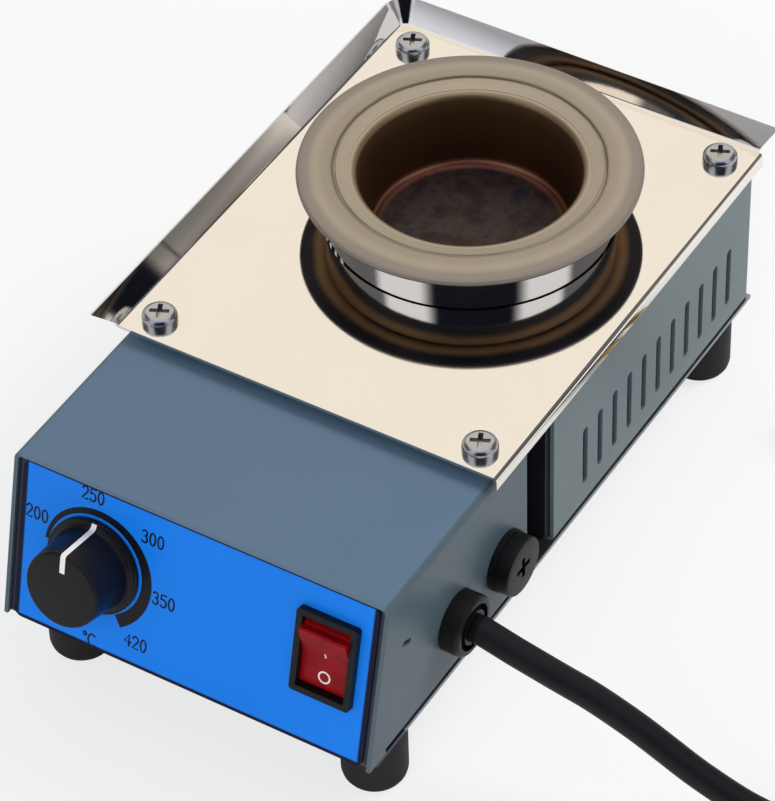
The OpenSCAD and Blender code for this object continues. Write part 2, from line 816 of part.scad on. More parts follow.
// Shaft with its flat for the knob and a collar inside the potentiometer
module potentiometer_shaft() {
    color("silver") on_floor() on_panel(-knob_x, knob_v) union() {
        shaft_form(shaft_r, nut_top + 0.3, knob_top - 3.2);
        translate([0, 0, panel_back - 5]) cylinder(r = shaft_r, h = nut_top + 0.3 - panel_back + 5);
        translate([0, 0, panel_back - 5]) cylinder(r = shaft_r + 1.4, h = 1.4);
    }
}

module potentiometer() {
    color("slategray") on_floor() on_panel(-knob_x, knob_v) difference() {
        union() {
            translate([0, 0, panel_back - pot_body_l]) cylinder(r = pot_body_r, h = pot_body_l);
            translate([0, 0, panel_back - 1]) cylinder(r = neck_r, h = nut_top - panel_back + 0.4);
            for (x = [-5, 0, 5]) {
                translate([x - 1, -pot_body_r - 5, panel_back - pot_body_l + 2]) cube([2, 9, 0.8]);
            }
        }
        translate([0, 0, panel_back - 5.3]) cylinder(r = shaft_r + run_gap, h = 20);
        translate([0, 0, panel_back - 5.3]) cylinder(r = shaft_r + 1.8, h = 2.1);
    }
}

module potentiometer_nut() {
    color("silver") on_floor() on_panel(-knob_x, knob_v) translate([0, 0, overlay_face]) {
        hex_nut(10, nut_top - overlay_face - 0.8, neck_r);
    }
}

// ---------- Rocker switch ----------

module switch_housing() {
    wall = 0.6;
    color([0.05, 0.05, 0.06]) on_floor() on_panel(switch_x, switch_v) difference() {
        union() {
            translate([0, 0, overlay_face]) linear_extrude(bezel_t) rounded_rect(bezel_w, bezel_h, 0.8);
            translate([0, 0, switch_back]) linear_extrude(overlay_face - switch_back + eps) {
                square([switch_body_w, switch_body_h], center = true);
            }
        }
        translate([0, 0, switch_back + 2]) linear_extrude(20) {
            square([rocker_w + 2 * fit_gap, switch_body_h - 2 * wall], center = true);
        }
        translate([-rocker_w / 2 - 0.5, 0, pivot_z]) rotate([0, 90, 0]) {
            cylinder(r = 1.2 + run_gap, h = rocker_w + 1);
        }
    }
}

// Rocker seen from the side, level: two faces that meet in a shallow valley over the pivot
module rocker_outline() {
    half = rocker_l / 2;
    face = 3.3;
    tip = face + half * tan(rocker_tilt);
    polygon(concat(
        [[0, face], [-half + 0.4, tip - 0.1]],
        [[-half, tip - 0.5]],
        [for (a = [-20:10:30]) let (r = half) [-r * cos(a) , 1.2 - r * sin(a) * 0.5]],
        [[-2.4, -2.5], [-1.2, -5.5], [1.2, -5.5], [2.4, -2.5]],
        [for (a = [30:-10:-20]) let (r = half) [r * cos(a), 1.2 - r * sin(a) * 0.5]],
        [[half, tip - 0.5], [half - 0.4, tip - 0.1]]
    ));
}

// Off at rest: the lower half is pressed in
module switch_rocker() {
    color([0.75, 0.05, 0.07]) on_floor() on_panel(switch_x, switch_v) translate([0, 0, pivot_z]) {
        rotate([rocker_tilt, 0, 0]) union() {
            translate([-rocker_w / 2, 0, 0]) rotate([90, 0, 90]) {
                linear_extrude(rocker_w) rocker_outline();
            }
            translate([-rocker_w / 2 - 0.4, 0, 0]) rotate([0, 90, 0]) cylinder(r = 1.2, h = rocker_w + 0.8);
        }
    }
}

module switch_terminals() {
    color("goldenrod") on_floor() on_panel(switch_x, switch_v) for (v = [-6, 0, 6]) {
        translate([-2.4, v - 0.4, switch_back - 7.5]) cube([4.8, 0.8, 7.5]);
    }
}

// ---------- Fuse holder ----------

module fuse_holder() {
    color([0.09, 0.09, 0.1]) on_floor() on_side(fuse_y, fuse_z) difference() {
        union() {
            cylinder(r = fuse_cap_r + 0.3, h = fuse_rim);
            translate([0, 0, -32]) cylinder(r = fuse_body_r, h = 32 + eps);
        }
        translate([0, 0, -13]) cylinder(r = fuse_stem_r + run_gap, h = 20);
        translate([0, 0, -30]) cylinder(r = 2.6, h = 20);
    }
}

module fuse_holder_nut() {
    color([0.13, 0.13, 0.14]) on_floor() on_side(fuse_y, fuse_z) translate([0, 0, -sheet_t - 3]) {
        hex_nut(16, 3, fuse_body_r);
    }
}

// Quarter-turn cap with a cross slot; its stem holds the end of the fuse
module fuse_cap() {
    color([0.1, 0.1, 0.11]) on_floor() on_side(fuse_y, fuse_z) difference() {
        union() {
            rotate_extrude() polygon(concat(
                [[0, fuse_rim + fit_gap], [fuse_cap_r, fuse_rim + fit_gap]],
                arc(fuse_cap_r - 0.5, fuse_face - 0.5, 0.5, 0, 90, 4), [[0, fuse_face]]
            ));
            translate([0, 0, -12]) cylinder(r = fuse_stem_r, h = 14);
        }
        translate([0, 0, fuse_face]) cross_recess(5.6, 1.2);
        translate([0, 0, -13]) cylinder(r = 2.9, h = 5);
    }
}

module fuse_link() {
    color("lightyellow") on_floor() on_side(fuse_y, fuse_z) translate([0, 0, -29.8]) {
        cylinder(r = 2.5, h = 20.4);
    }
}

// ---------- Mains cord ----------

// Strain relief: a round head outside the case, a groove for the sheet and a tapered sleeve
module cord_bushing() {
    groove = bushing_r - 1.6;
    color([0.08, 0.08, 0.09]) on_floor() on_side(bushing_y, bushing_z) difference() {
        rotate_extrude() polygon(concat(
            [[0, -19], [cord_r + 1.2, -19], [groove - 0.3, -sheet_t - 3]],
            [[bushing_r - 1, -sheet_t - 2.5], [bushing_r - 1, -sheet_t], [groove, -sheet_t], [groove, 0]],
            [[bushing_r, 0]],
            arc(bushing_r - 1, bushing_face - 1, 1, 0, 90, 5),
            [[0, bushing_face]]
        ));
        translate([0, 0, bushing_face - 1.6]) tube(bushing_r - 1.7, cord_r + 0.9, 2);
    }
}

// One ring of a swept tube, square to the route where it is
function across_route(route, i) = let (
    last = len(route) - 1,
    along = route[min(i + 1, last)] - route[max(i - 1, 0)],
    t = along / norm(along),
    side = cross([0, 0, 1], t),
    u = side / norm(side),
    v = cross(t, u)
) [for (k = [0:cord_sides - 1]) let (a = 360 * k / cord_sides) route[i] + cord_r * (cos(a) * u + sin(a) * v)];

module swept_cord(route) {
    n = cord_sides;
    last = len(route) - 1;
    points = [for (i = [0:last]) each across_route(route, i)];
    sides = [
        for (i = [0:last - 1], k = [0:n - 1]) let (next = (k + 1) % n, ring = i * n)
            each [[ring + k, ring + n + next, ring + next], [ring + k, ring + n + k, ring + n + next]]
    ];
    ends = [[for (k = [0:n - 1]) k], [for (k = [n - 1:-1:0]) last * n + k]];
    polyhedron(points, concat(sides, ends));
}

module power_cord() {
    color([0.07, 0.07, 0.08]) on_floor() swept_cord(lead_route);
}

module cord_tail() {
    color([0.07, 0.07, 0.08]) on_floor() swept_cord(tail_route);
}

// Outer shape of the coiled cord: three turns wide below, two turns above
module cord_coil() {
    low = floor_level;
    wide = coil_out + cord_r;
    narrow = coil_upper + cord_r;
    inner = coil_in - cord_r;
    color([0.08, 0.08, 0.09]) on_floor() translate([coil_centre[0], coil_centre[1], 0]) {
        rotate_extrude() polygon(concat(
            arc(inner + cord_r, low + cord_r, cord_r, 180, 270, 4),
            arc(wide - cord_r, low + cord_r, cord_r, 270, 450, 6),
            arc(narrow - cord_r, low + 3 * cord_r, cord_r, 0, 90, 4),
            arc(inner + cord_r, low + 3 * cord_r, cord_r, 90, 180, 4)
        ));
    }
}

// Strap that holds the coil's turns together
module cord_tie() {
    mid = (coil_in + coil_out) / 2;
    w = coil_out - coil_in + cord_d + 1.6;
    h = 2 * cord_d + 0.8;
    color([0.12, 0.12, 0.13]) on_floor() translate([coil_centre[0], coil_centre[1], floor_level]) {
        rotate([0, 0, 215]) translate([mid, 0, h / 2]) rotate([90, 0, 0]) {
            translate([0, 0, -6]) linear_extrude(12) difference() {
                rounded_rect(w, h, 3);
                rounded_rect(w - 1.6, h - 1.6, 2.3);
            }
        }
    }
}

// Axes of the plug: z along its cord, from the relief's thin end towards the blades
module on_plug() {
    last = tail_route[len(tail_route) - 1];
    translate(last) rotate([0, -90, 0]) children();
}

// Moulded plug with a tapered, ribbed strain relief
module plug_body() {
    start = relief_l;
    color([0.09, 0.09, 0.1]) on_floor() on_plug() difference() {
        union() {
            rotate_extrude() polygon([
                [0, 0], [cord_r + 0.8, 0], [cord_r + 2.6, relief_l], [cord_r + 2.6, relief_l + 2],
                [0, relief_l + 2]
            ]);
            intersection() {
                translate([0, plug_w / 2 + 5, 0]) rotate([90, 0, 0]) linear_extrude(plug_w + 10) {
                    polygon([
                        [-plug_h / 2, start + 11], [-5, start], [5, start], [plug_h / 2, start + 11],
                        [plug_h / 2, start + plug_l], [-plug_h / 2, start + plug_l]
                    ]);
                }
                translate([-plug_h, 0, 0]) rotate([90, 0, 90]) linear_extrude(2 * plug_h) {
                    polygon([
                        [-plug_w / 2, start + 16], [-7, start], [7, start], [plug_w / 2, start + 16],
                        [plug_w / 2, start + plug_l], [-plug_w / 2, start + plug_l]
                    ]);
                }
                linear_extrude(start + plug_l) rounded_rect(plug_h, plug_w, 3);
            }
        }
        for (z = [5:4:relief_l - 4]) {
            translate([0, 0, z]) tube(2 * cord_r, cord_r + 0.5, 1.6);
        }
    }
}

// Two flat blades and a round earth pin
module plug_blades() {
    face = relief_l + plug_l;
    color("goldenrod") on_floor() on_plug() union() {
        for (y = [-6.35, 6.35]) {
            translate([-1.5 - 3.2, y - 0.75, face]) cube([6.3, 1.5, 16]);
        }
        translate([5, 0, face]) cylinder(r = 2.4, h = 19);
    }
}

// ---------- Electronics ----------

module control_board() {
    color([0.1, 0.35, 0.18]) on_floor() difference() {
        translate([board_x - board_w / 2, board_y - board_d / 2, board_z]) cube([board_w, board_d, board_t]);
        at_board_corners(board_z - 1) cylinder(r = m3[0] + hole_gap, h = board_t + 2);
    }
}

module board_spacers() {
    color("white") on_floor() at_board_corners(shell_z) tube(2.8, m3[0] + hole_gap, board_z - shell_z);
}

module board_screws() {
    color("gainsboro") on_floor() at_board_corners(board_top) pan_screw(m3, board_top - sheet_t / 2);
}

module film_capacitor() {
    color([0.75, 0.55, 0.12]) on_floor() translate([board_x - 13, board_y + 2, board_top]) {
        linear_extrude(11) rounded_rect(7, 17, 1);
    }
}

module electrolytic_capacitors() {
    color([0.12, 0.14, 0.3]) on_floor() for (y = [-9, 0.5]) {
        translate([board_x - 3, board_y + y, board_top]) cylinder(r = 4, h = 11.5);
    }
}

// Triac standing against the heat sink
module triac() {
    color([0.15, 0.15, 0.16]) on_floor() translate([board_x + 8, board_y + 2, board_top]) union() {
        translate([-5, 0, 4]) cube([10, 3.2, 9]);
        translate([-5, 2.1, 4]) cube([10, 1.3, 15]);
        for (x = [-2.5, 0, 2.5]) {
            translate([x - 0.4, 1.2, 0]) cube([0.8, 0.6, 4 + eps]);
        }
    }
}

// Extruded heat sink: a back with upright fins
module heat_sink() {
    fins = 6;
    back_t = 2;
    pitch = (22 - 1.2) / (fins - 1);
    color("silver") on_floor() translate([board_x + 8, board_y + 5.4, board_top]) {
        linear_extrude(21) union() {
            translate([-11, 0]) square([22, back_t]);
            for (i = [0:fins - 1]) {
                translate([-11 + i * pitch, back_t - eps]) square([1.2, 7.4]);
            }
        }
    }
}

module control_chip() {
    color([0.1, 0.1, 0.11]) on_floor() translate([board_x + 8, board_y - 11, board_top]) union() {
        translate([-4.8, -3.2, 0.5]) cube([9.6, 6.4, 3.3]);
        for (i = [0:3], s = [-1, 1]) {
            translate([-4.06 + i * 2.54, s * 3.9 - 0.3, 0]) cube([0.5, 0.6, 2.2]);
            translate([-4.06 + i * 2.54, s * 3.45 - 0.5, 1.7]) cube([0.5, 1, 0.5]);
        }
    }
}

// Screw terminals for the mains, fuse and switch wires
module terminal_block() {
    ways = 3;
    pitch = 8;
    w = 15;
    h = 9.5;
    color("ivory") on_floor() translate([21.5, 38, shell_z]) difference() {
        translate([-w / 2, -ways * pitch / 2, 0]) cube([w, ways * pitch, h]);
        for (i = [0:ways - 1]) {
            translate([0, (i - 1) * pitch, 4]) rotate([0, 90, 0]) cylinder(r = 1.8, h = w + 2, center = true);
            for (x = [-4.5, 4.5]) {
                translate([x, (i - 1) * pitch, 5]) cylinder(r = 1.7, h = h);
            }
        }
    }
}

// ---------- Feet and screws ----------

module rubber_feet() {
    color([0.08, 0.08, 0.08]) on_floor() at_feet(-foot_h) rotate_extrude() polygon([
        [m4[1] + 0.6, 0], [foot_r - 0.8, 0], [foot_r - 0.3, 0.8], [foot_r, 2], [foot_r, foot_h],
        [m4[0] + hole_gap, foot_h], [m4[0] + hole_gap, foot_h * 0.55], [m4[1] + 0.6, foot_h * 0.55]
    ]);
}

module foot_screws() {
    shank = foot_h * 0.45 + 7;
    color("gainsboro") on_floor() at_feet(-foot_h * 0.45) mirror([0, 0, 1]) pan_screw(m4, shank);
}

module foot_nuts() {
    color("silver") on_floor() at_feet(flange_top) hex_nut(m4[3], m4[4], m4[0]);
}

module case_screws() {
    color("gainsboro") on_floor() at_case_screws(0) mirror([0, 0, 1]) pan_screw(m3, 6);
}

base_pan();
panel_overlay();
control_cover();
control_rear_wall();
wire_grommet();
heater_case();
heater_baffle();
top_plate();
plate_spacers();
plate_screws();
plate_nuts();
crucible();
heater_jacket();
heating_block();
band_heater();
insulation_disc();
heater_tray();
tray_standoffs();
tray_screws();
temperature_sensor();
knob();
knob_pointer();
potentiometer_shaft();
potentiometer();
potentiometer_nut();
switch_housing();
switch_rocker();
switch_terminals();
fuse_holder();
fuse_holder_nut();
fuse_cap();
fuse_link();
cord_bushing();
power_cord();
cord_coil();
cord_tail();
cord_tie();
plug_body();
plug_blades();
control_board();
board_spacers();
board_screws();
film_capacitor();
electrolytic_capacitors();
triac();
heat_sink();
control_chip();
terminal_block();
rubber_feet();
foot_screws();
foot_nuts();
case_screws();
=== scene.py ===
"""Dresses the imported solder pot: finishes, print, cord, camera and studio."""

from __future__ import annotations

import json
import logging
import math
from collections.abc import Sequence
from dataclasses import dataclass, field
from enum import Enum

import bmesh
import bpy
import numpy as np
from mathutils import Matrix, Vector

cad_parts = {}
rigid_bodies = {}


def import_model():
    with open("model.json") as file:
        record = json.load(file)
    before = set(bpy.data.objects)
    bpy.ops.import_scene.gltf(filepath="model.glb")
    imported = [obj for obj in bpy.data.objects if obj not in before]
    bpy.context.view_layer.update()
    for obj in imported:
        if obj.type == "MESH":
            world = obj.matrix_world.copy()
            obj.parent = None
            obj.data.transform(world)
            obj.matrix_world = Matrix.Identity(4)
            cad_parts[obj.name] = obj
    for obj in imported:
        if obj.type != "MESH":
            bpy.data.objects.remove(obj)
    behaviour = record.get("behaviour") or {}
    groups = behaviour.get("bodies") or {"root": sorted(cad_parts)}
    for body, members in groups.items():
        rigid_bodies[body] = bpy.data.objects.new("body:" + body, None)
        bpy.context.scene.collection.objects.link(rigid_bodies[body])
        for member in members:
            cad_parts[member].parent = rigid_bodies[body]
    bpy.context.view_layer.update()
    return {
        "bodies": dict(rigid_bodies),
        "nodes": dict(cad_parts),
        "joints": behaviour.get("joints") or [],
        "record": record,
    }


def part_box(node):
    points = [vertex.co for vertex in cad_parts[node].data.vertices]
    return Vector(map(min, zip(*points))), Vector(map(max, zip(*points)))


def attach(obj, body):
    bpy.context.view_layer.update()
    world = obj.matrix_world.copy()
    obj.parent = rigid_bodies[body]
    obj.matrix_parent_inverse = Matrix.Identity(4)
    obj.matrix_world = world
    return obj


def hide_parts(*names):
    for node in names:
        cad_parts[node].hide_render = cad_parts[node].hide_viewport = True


LOG = logging.getLogger("solder_pot")
MM = 0.001
MICRON = 0.000001

Colour = tuple[float, float, float]
Grid = np.ndarray

WHITE: Colour = (1.0, 1.0, 1.0)


def linear(red: int, green: int, blue: int) -> Colour:
    """Turns a screen colour of 0 to 255 into the linear values that a shader takes.

    Args:
        red: Red part, 0 to 255.
        green: Green part, 0 to 255.
        blue: Blue part, 0 to 255.

    Returns:
        The linear colour.
    """

    def one(value: int) -> float:
        """Undoes the screen's tone curve for one part."""
        v = value / 255.0
        return v / 12.92 if v <= 0.04045 else ((v + 0.055) / 1.055) ** 2.4

    return one(red), one(green), one(blue)


def toned(colour: Colour, factor: float, extra: float = 0.0) -> Colour:
    """A colour times a factor and plus an addition, up to full."""
    return tuple(min(1.0, factor * part + extra) for part in colour)


# ---------------------------------------------------------------- shader maths


class Wire:
    """A shader socket that can be used in sums and products."""

    def __init__(self, shader: "Shader", socket: bpy.types.NodeSocket) -> None:
        """Keeps the socket and the shader that it belongs to."""
        self.shader = shader
        self.socket = socket

    def maths(self, operation: str, *values: "Wire | float", swap: bool = False) -> "Wire":
        """Adds a Math node.

        Args:
            operation: The Math node's operation.
            *values: What goes in beside this wire.
            swap: True to put this wire after the first value.

        Returns:
            The result's wire.
        """
        ordered = [values[0], self, *values[1:]] if swap else [self, *values]
        return self.shader.node("ShaderNodeMath", {"operation": operation}, dict(enumerate(ordered)))

    def __add__(self, other: "Wire | float") -> "Wire":
        """Sum."""
        return self.maths("ADD", other)

    __radd__ = __add__

    def __sub__(self, other: "Wire | float") -> "Wire":
        """Difference."""
        return self.maths("SUBTRACT", other)

    def __rsub__(self, other: "Wire | float") -> "Wire":
        """Difference from a number on the left."""
        return self.maths("SUBTRACT", other, swap=True)

    def __mul__(self, other: "Wire | float") -> "Wire":
        """Product."""
        return self.maths("MULTIPLY", other)

    __rmul__ = __mul__

    def __truediv__(self, other: "Wire | float") -> "Wire":
        """Quotient."""
        return self.maths("DIVIDE", other)

    def __pow__(self, other: "Wire | float") -> "Wire":
        """Power."""
        return self.maths("POWER", other)

    def above(self, edge: float, width: float) -> "Wire":
        """A smooth step: 0 below the edge, 1 above it.

        Args:
            edge: Where the step's middle is.
            width: How wide the step is.

        Returns:
            The step's wire, from 0 to 1.
        """
        settings = {"interpolation_type": "SMOOTHSTEP"}
        sockets = {0: self, 1: edge - width / 2, 2: edge + width / 2}
        return self.shader.node("ShaderNodeMapRange", settings, sockets)

    def between(self, low: float, high: float, width: float) -> "Wire":
        """A smooth band: 1 between the two edges and 0 outside them."""
        return self.above(low, width) * (1.0 - self.above(high, width))


class Shader:
    """Builds the node tree of one material or of the world."""

    def __init__(self, tree: bpy.types.NodeTree) -> None:
        """Takes an empty node tree."""
        self.tree = tree

    def node(
        self,
        kind: str,
        settings: dict[str, object] | None = None,
        sockets: dict[int | str, object] | None = None,
        output: int | str = 0,
    ) -> Wire:
        """Adds a node, sets it up and feeds its sockets.

        Args:
            kind: The node's type.
            settings: The node's own settings, or the stops of a ramp under "stops".
            sockets: Values or wires for its inputs.
            output: Which output to return.

        Returns:
            The wire of that output.
        """
        made = self.tree.nodes.new(kind)
        for name, value in (settings or {}).items():
            if name == "stops":
                self.fill_ramp(made.color_ramp, value)
            else:
                setattr(made, name, value)
        for name, value in (sockets or {}).items():
            self.feed(made.inputs[name], value)
        return Wire(self, made.outputs[output])

    @staticmethod
    def fill_ramp(ramp: bpy.types.ColorRamp, stops: Sequence[tuple[float, Colour]]) -> None:
        """Gives a colour ramp its stops.

        Args:
            ramp: The ramp to fill.
            stops: Places from 0 to 1, each with its linear colour.
        """
        while len(ramp.elements) < len(stops):
            ramp.elements.new(0.5)
        for element, (place, colour) in zip(ramp.elements, stops):
            element.position = place
            element.color = (*colour, 1.0)

    def feed(self, socket: bpy.types.NodeSocket, value: object) -> None:
        """Links a wire to a socket, or sets the socket's own value.

        Args:
            socket: The input to feed.
            value: A wire, a number, a vector or a colour.
        """
        if isinstance(value, Wire):
            self.tree.links.new(value.socket, socket)
        elif isinstance(value, tuple) and len(value) == 3 and socket.type == "RGBA":
            socket.default_value = (*value, 1.0)
        else:
            socket.default_value = value

    def place(self) -> Wire:
        """The point on the object, in the object's own metres."""
        return self.node("ShaderNodeTexCoord", output="Object")

    def axes(self, vector: Wire) -> tuple[Wire, Wire, Wire]:
        """Splits a vector into its three parts."""
        return self.outputs(self.node("ShaderNodeSeparateXYZ", sockets={0: vector}), 0, 1, 2)

    def outputs(self, wire: Wire, *names: int | str) -> tuple[Wire, ...]:
        """Named outputs of the node that a wire comes from."""
        return tuple(Wire(self, wire.socket.node.outputs[name]) for name in names)

    def stretched(self, vector: Wire, scale: Sequence[float]) -> Wire:
        """The vector with each part multiplied, for patterns that run one way."""
        return self.node("ShaderNodeMapping", sockets={"Vector": vector, "Scale": tuple(scale)})

    def noise(self, vector: Wire, grain: float, detail: float = 3.0, rough: float = 0.55) -> Wire:
        """Smooth noise from 0 to 1.

        Args:
            vector: Where the noise is read.
            grain: The size of its blotches, in metres.
            detail: How many finer layers it has.
            rough: How strong the finer layers are.

        Returns:
            The noise's wire.
        """
        sockets = {"Vector": vector, "Scale": 1.0 / grain, "Detail": detail, "Roughness": rough}
        return self.node("ShaderNodeTexNoise", sockets=sockets)

    def ramp(self, amount: Wire, stops: Sequence[tuple[float, Colour]]) -> Wire:
        """A colour that follows an amount through the stops."""
        return self.node("ShaderNodeValToRGB", {"stops": stops}, {0: amount})

    def mix(self, amount: Wire | float, first: Wire | Colour, second: Wire | Colour) -> Wire:
        """A colour between two others."""
        settings = {"data_type": "RGBA"}
        return self.node("ShaderNodeMix", settings, {0: amount, 6: first, 7: second}, output=2)

    def bump(self, height: Wire, distance: float, strength: float = 1.0) -> Wire:
        """A normal that follows a height from 0 to 1, scaled to a distance in metres."""
        sockets = {"Height": height, "Distance": distance, "Strength": strength}
        return self.node("ShaderNodeBump", sockets=sockets)


SOCKETS = {
    "colour": "Base Color",
    "rough": "Roughness",
    "metal": "Metallic",
    "normal": "Normal",
    "specular": "Specular IOR Level",
    "emission": "Emission Color",
    "emission_strength": "Emission Strength",
}


class MaterialShader(Shader):
    """One material with a Principled shader."""

    def __init__(self, name: str) -> None:
        """Makes the material and its output."""
        self.material = bpy.data.materials.new(name)
        self.material.use_nodes = True
        super().__init__(self.material.node_tree)
        self.tree.nodes.clear()
        self.surface = self.tree.nodes.new("ShaderNodeBsdfPrincipled")
        self.output = self.tree.nodes.new("ShaderNodeOutputMaterial")
        self.tree.links.new(self.surface.outputs[0], self.output.inputs[0])

    def set(self, **values: object) -> bpy.types.Material:
        """Feeds the Principled shader.

        Args:
            **values: Its inputs, named in lower case with underscores.

        Returns:
            The finished material.
        """
        for name, value in values.items():
            self.feed(self.surface.inputs[SOCKETS[name]], value)
        return self.material


# -------------------------------------------------------------------- finishes


@dataclass(frozen=True)
class Finish:
    """A finish that makes one material."""

    name: str

    def material(self) -> bpy.types.Material:
        """Builds the material."""
        raise NotImplementedError


@dataclass(frozen=True)
class Paint(Finish):
    """Powder-coated sheet: fine orange peel, faint cloudiness and a soft gloss, with an optional darker side
    colour that is painted shade.
    """

    colour: Colour
    tint: Colour
    rough: float = 0.36
    peel: float = 20 * MICRON
    # A darker copy of the colour for the sides: painted shade.
    side: Colour | None = None
    shaded_side_x: float = 0.0

    def material(self) -> bpy.types.Material:
        """Builds the material."""
        shader = MaterialShader(self.name)
        place = shader.place()
        cloud = shader.noise(place, 45 * MM, 2.0)
        peel = shader.noise(place, 1.1 * MM, 2.0)
        speck = shader.noise(place, 0.35 * MM, 1.0)
        tone = shader.mix(cloud, self.colour, self.tint)
        # Painted shade: past the given distance from the middle, the sheet takes the darker side colour.
        if self.side is not None:
            x, _, _ = shader.axes(place)
            shaded_side = x.maths("ABSOLUTE").above(self.shaded_side_x, 0.8 * MM)
            tone = shader.mix(shaded_side, tone, shader.mix(cloud, self.side, toned(self.side, 1.1)))
        return shader.set(
            colour=tone,
            rough=self.rough + 0.10 * (cloud - 0.5) + 0.05 * (speck - 0.5),
            specular=0.28,
            normal=shader.bump(peel, self.peel),
        )


@dataclass(frozen=True)
class Polished(Finish):
    """Polished sheet: a clear reflection with hair-fine marks along one axis."""

    colour: Colour
    rough: float
    marks: tuple[float, float, float] = (1.0, 14.0, 1.0)
    depth: float = 1.5 * MICRON

    def material(self) -> bpy.types.Material:
        """Builds the material."""
        shader = MaterialShader(self.name)
        place = shader.place()
        lines = shader.noise(shader.stretched(place, self.marks), 4 * MM, 4.0, 0.7)
        smear = shader.noise(place, 30 * MM, 3.0)
        return shader.set(
            colour=shader.mix(smear, self.colour, toned(self.colour, 0.96)),
            metal=1.0,
            rough=self.rough + 0.05 * (smear - 0.5) + 0.02 * (lines - 0.5),
            normal=shader.bump(lines, self.depth),
        )


@dataclass(frozen=True)
class SatinMetal(Finish):
    """Plated or turned metal with a fine grain."""

    colour: Colour
    rough: float = 0.32
    grain: float = 0.6 * MM
    depth: float = 4 * MICRON

    def material(self) -> bpy.types.Material:
        """Builds the material."""
        shader = MaterialShader(self.name)
        place = shader.place()
        grain = shader.noise(place, self.grain, 4.0)
        patch = shader.noise(place, 12 * MM, 2.0)
        return shader.set(
            colour=shader.mix(patch, self.colour, toned(self.colour, 0.82)),
            metal=1.0,
            rough=self.rough + 0.16 * (grain - 0.5) + 0.08 * (patch - 0.5),
            normal=shader.bump(grain, self.depth),
        )


@dataclass(frozen=True)
class PanSheet(Finish):
    """Plated base sheet whose folded-up front panel is dark behind the film."""

    plating: Colour
    panel_colour: Colour
    panel_rear: float
    panel_foot: float
    edge: float = 1.0 * MM
    depth: float = 4 * MICRON

    def material(self) -> bpy.types.Material:
        """Builds the material."""
        shader = MaterialShader(self.name)
        place = shader.place()
        _, y, z = shader.axes(place)
        grain = shader.noise(place, 0.6 * MM, 3.0)
        patch = shader.noise(place, 12 * MM, 2.0)
        on_panel = (1.0 - y.above(self.panel_rear, self.edge)) * z.above(self.panel_foot, self.edge)
        plating = shader.mix(patch, self.plating, toned(self.plating, 0.82))
        return shader.set(
            colour=shader.mix(on_panel, plating, self.panel_colour),
            metal=1.0 - on_panel,
            rough=0.38 + 0.14 * (grain - 0.5) + 0.06 * (patch - 0.5),
            normal=shader.bump(grain, self.depth),
        )


@dataclass(frozen=True)
class Moulding(Finish):
    """Moulded plastic or rubber: a fine spark-eroded texture and worn-looking gloss."""

    colour: Colour
    rough: float = 0.42
    grain: float = 0.4 * MM
    depth: float = 8 * MICRON
    gloss: float = 0.22

    def material(self) -> bpy.types.Material:
        """Builds the material."""
        shader = MaterialShader(self.name)
        place = shader.place()
        grain = shader.noise(place, self.grain, 3.0)
        patch = shader.noise(place, 9 * MM, 2.0)
        return shader.set(
            colour=shader.mix(patch, self.colour, toned(self.colour, 1.25, 0.004)),
            rough=self.rough + 0.14 * (patch - 0.5) + 0.08 * (grain - 0.5),
            normal=shader.bump(grain, self.depth),
            specular=self.gloss,
        )


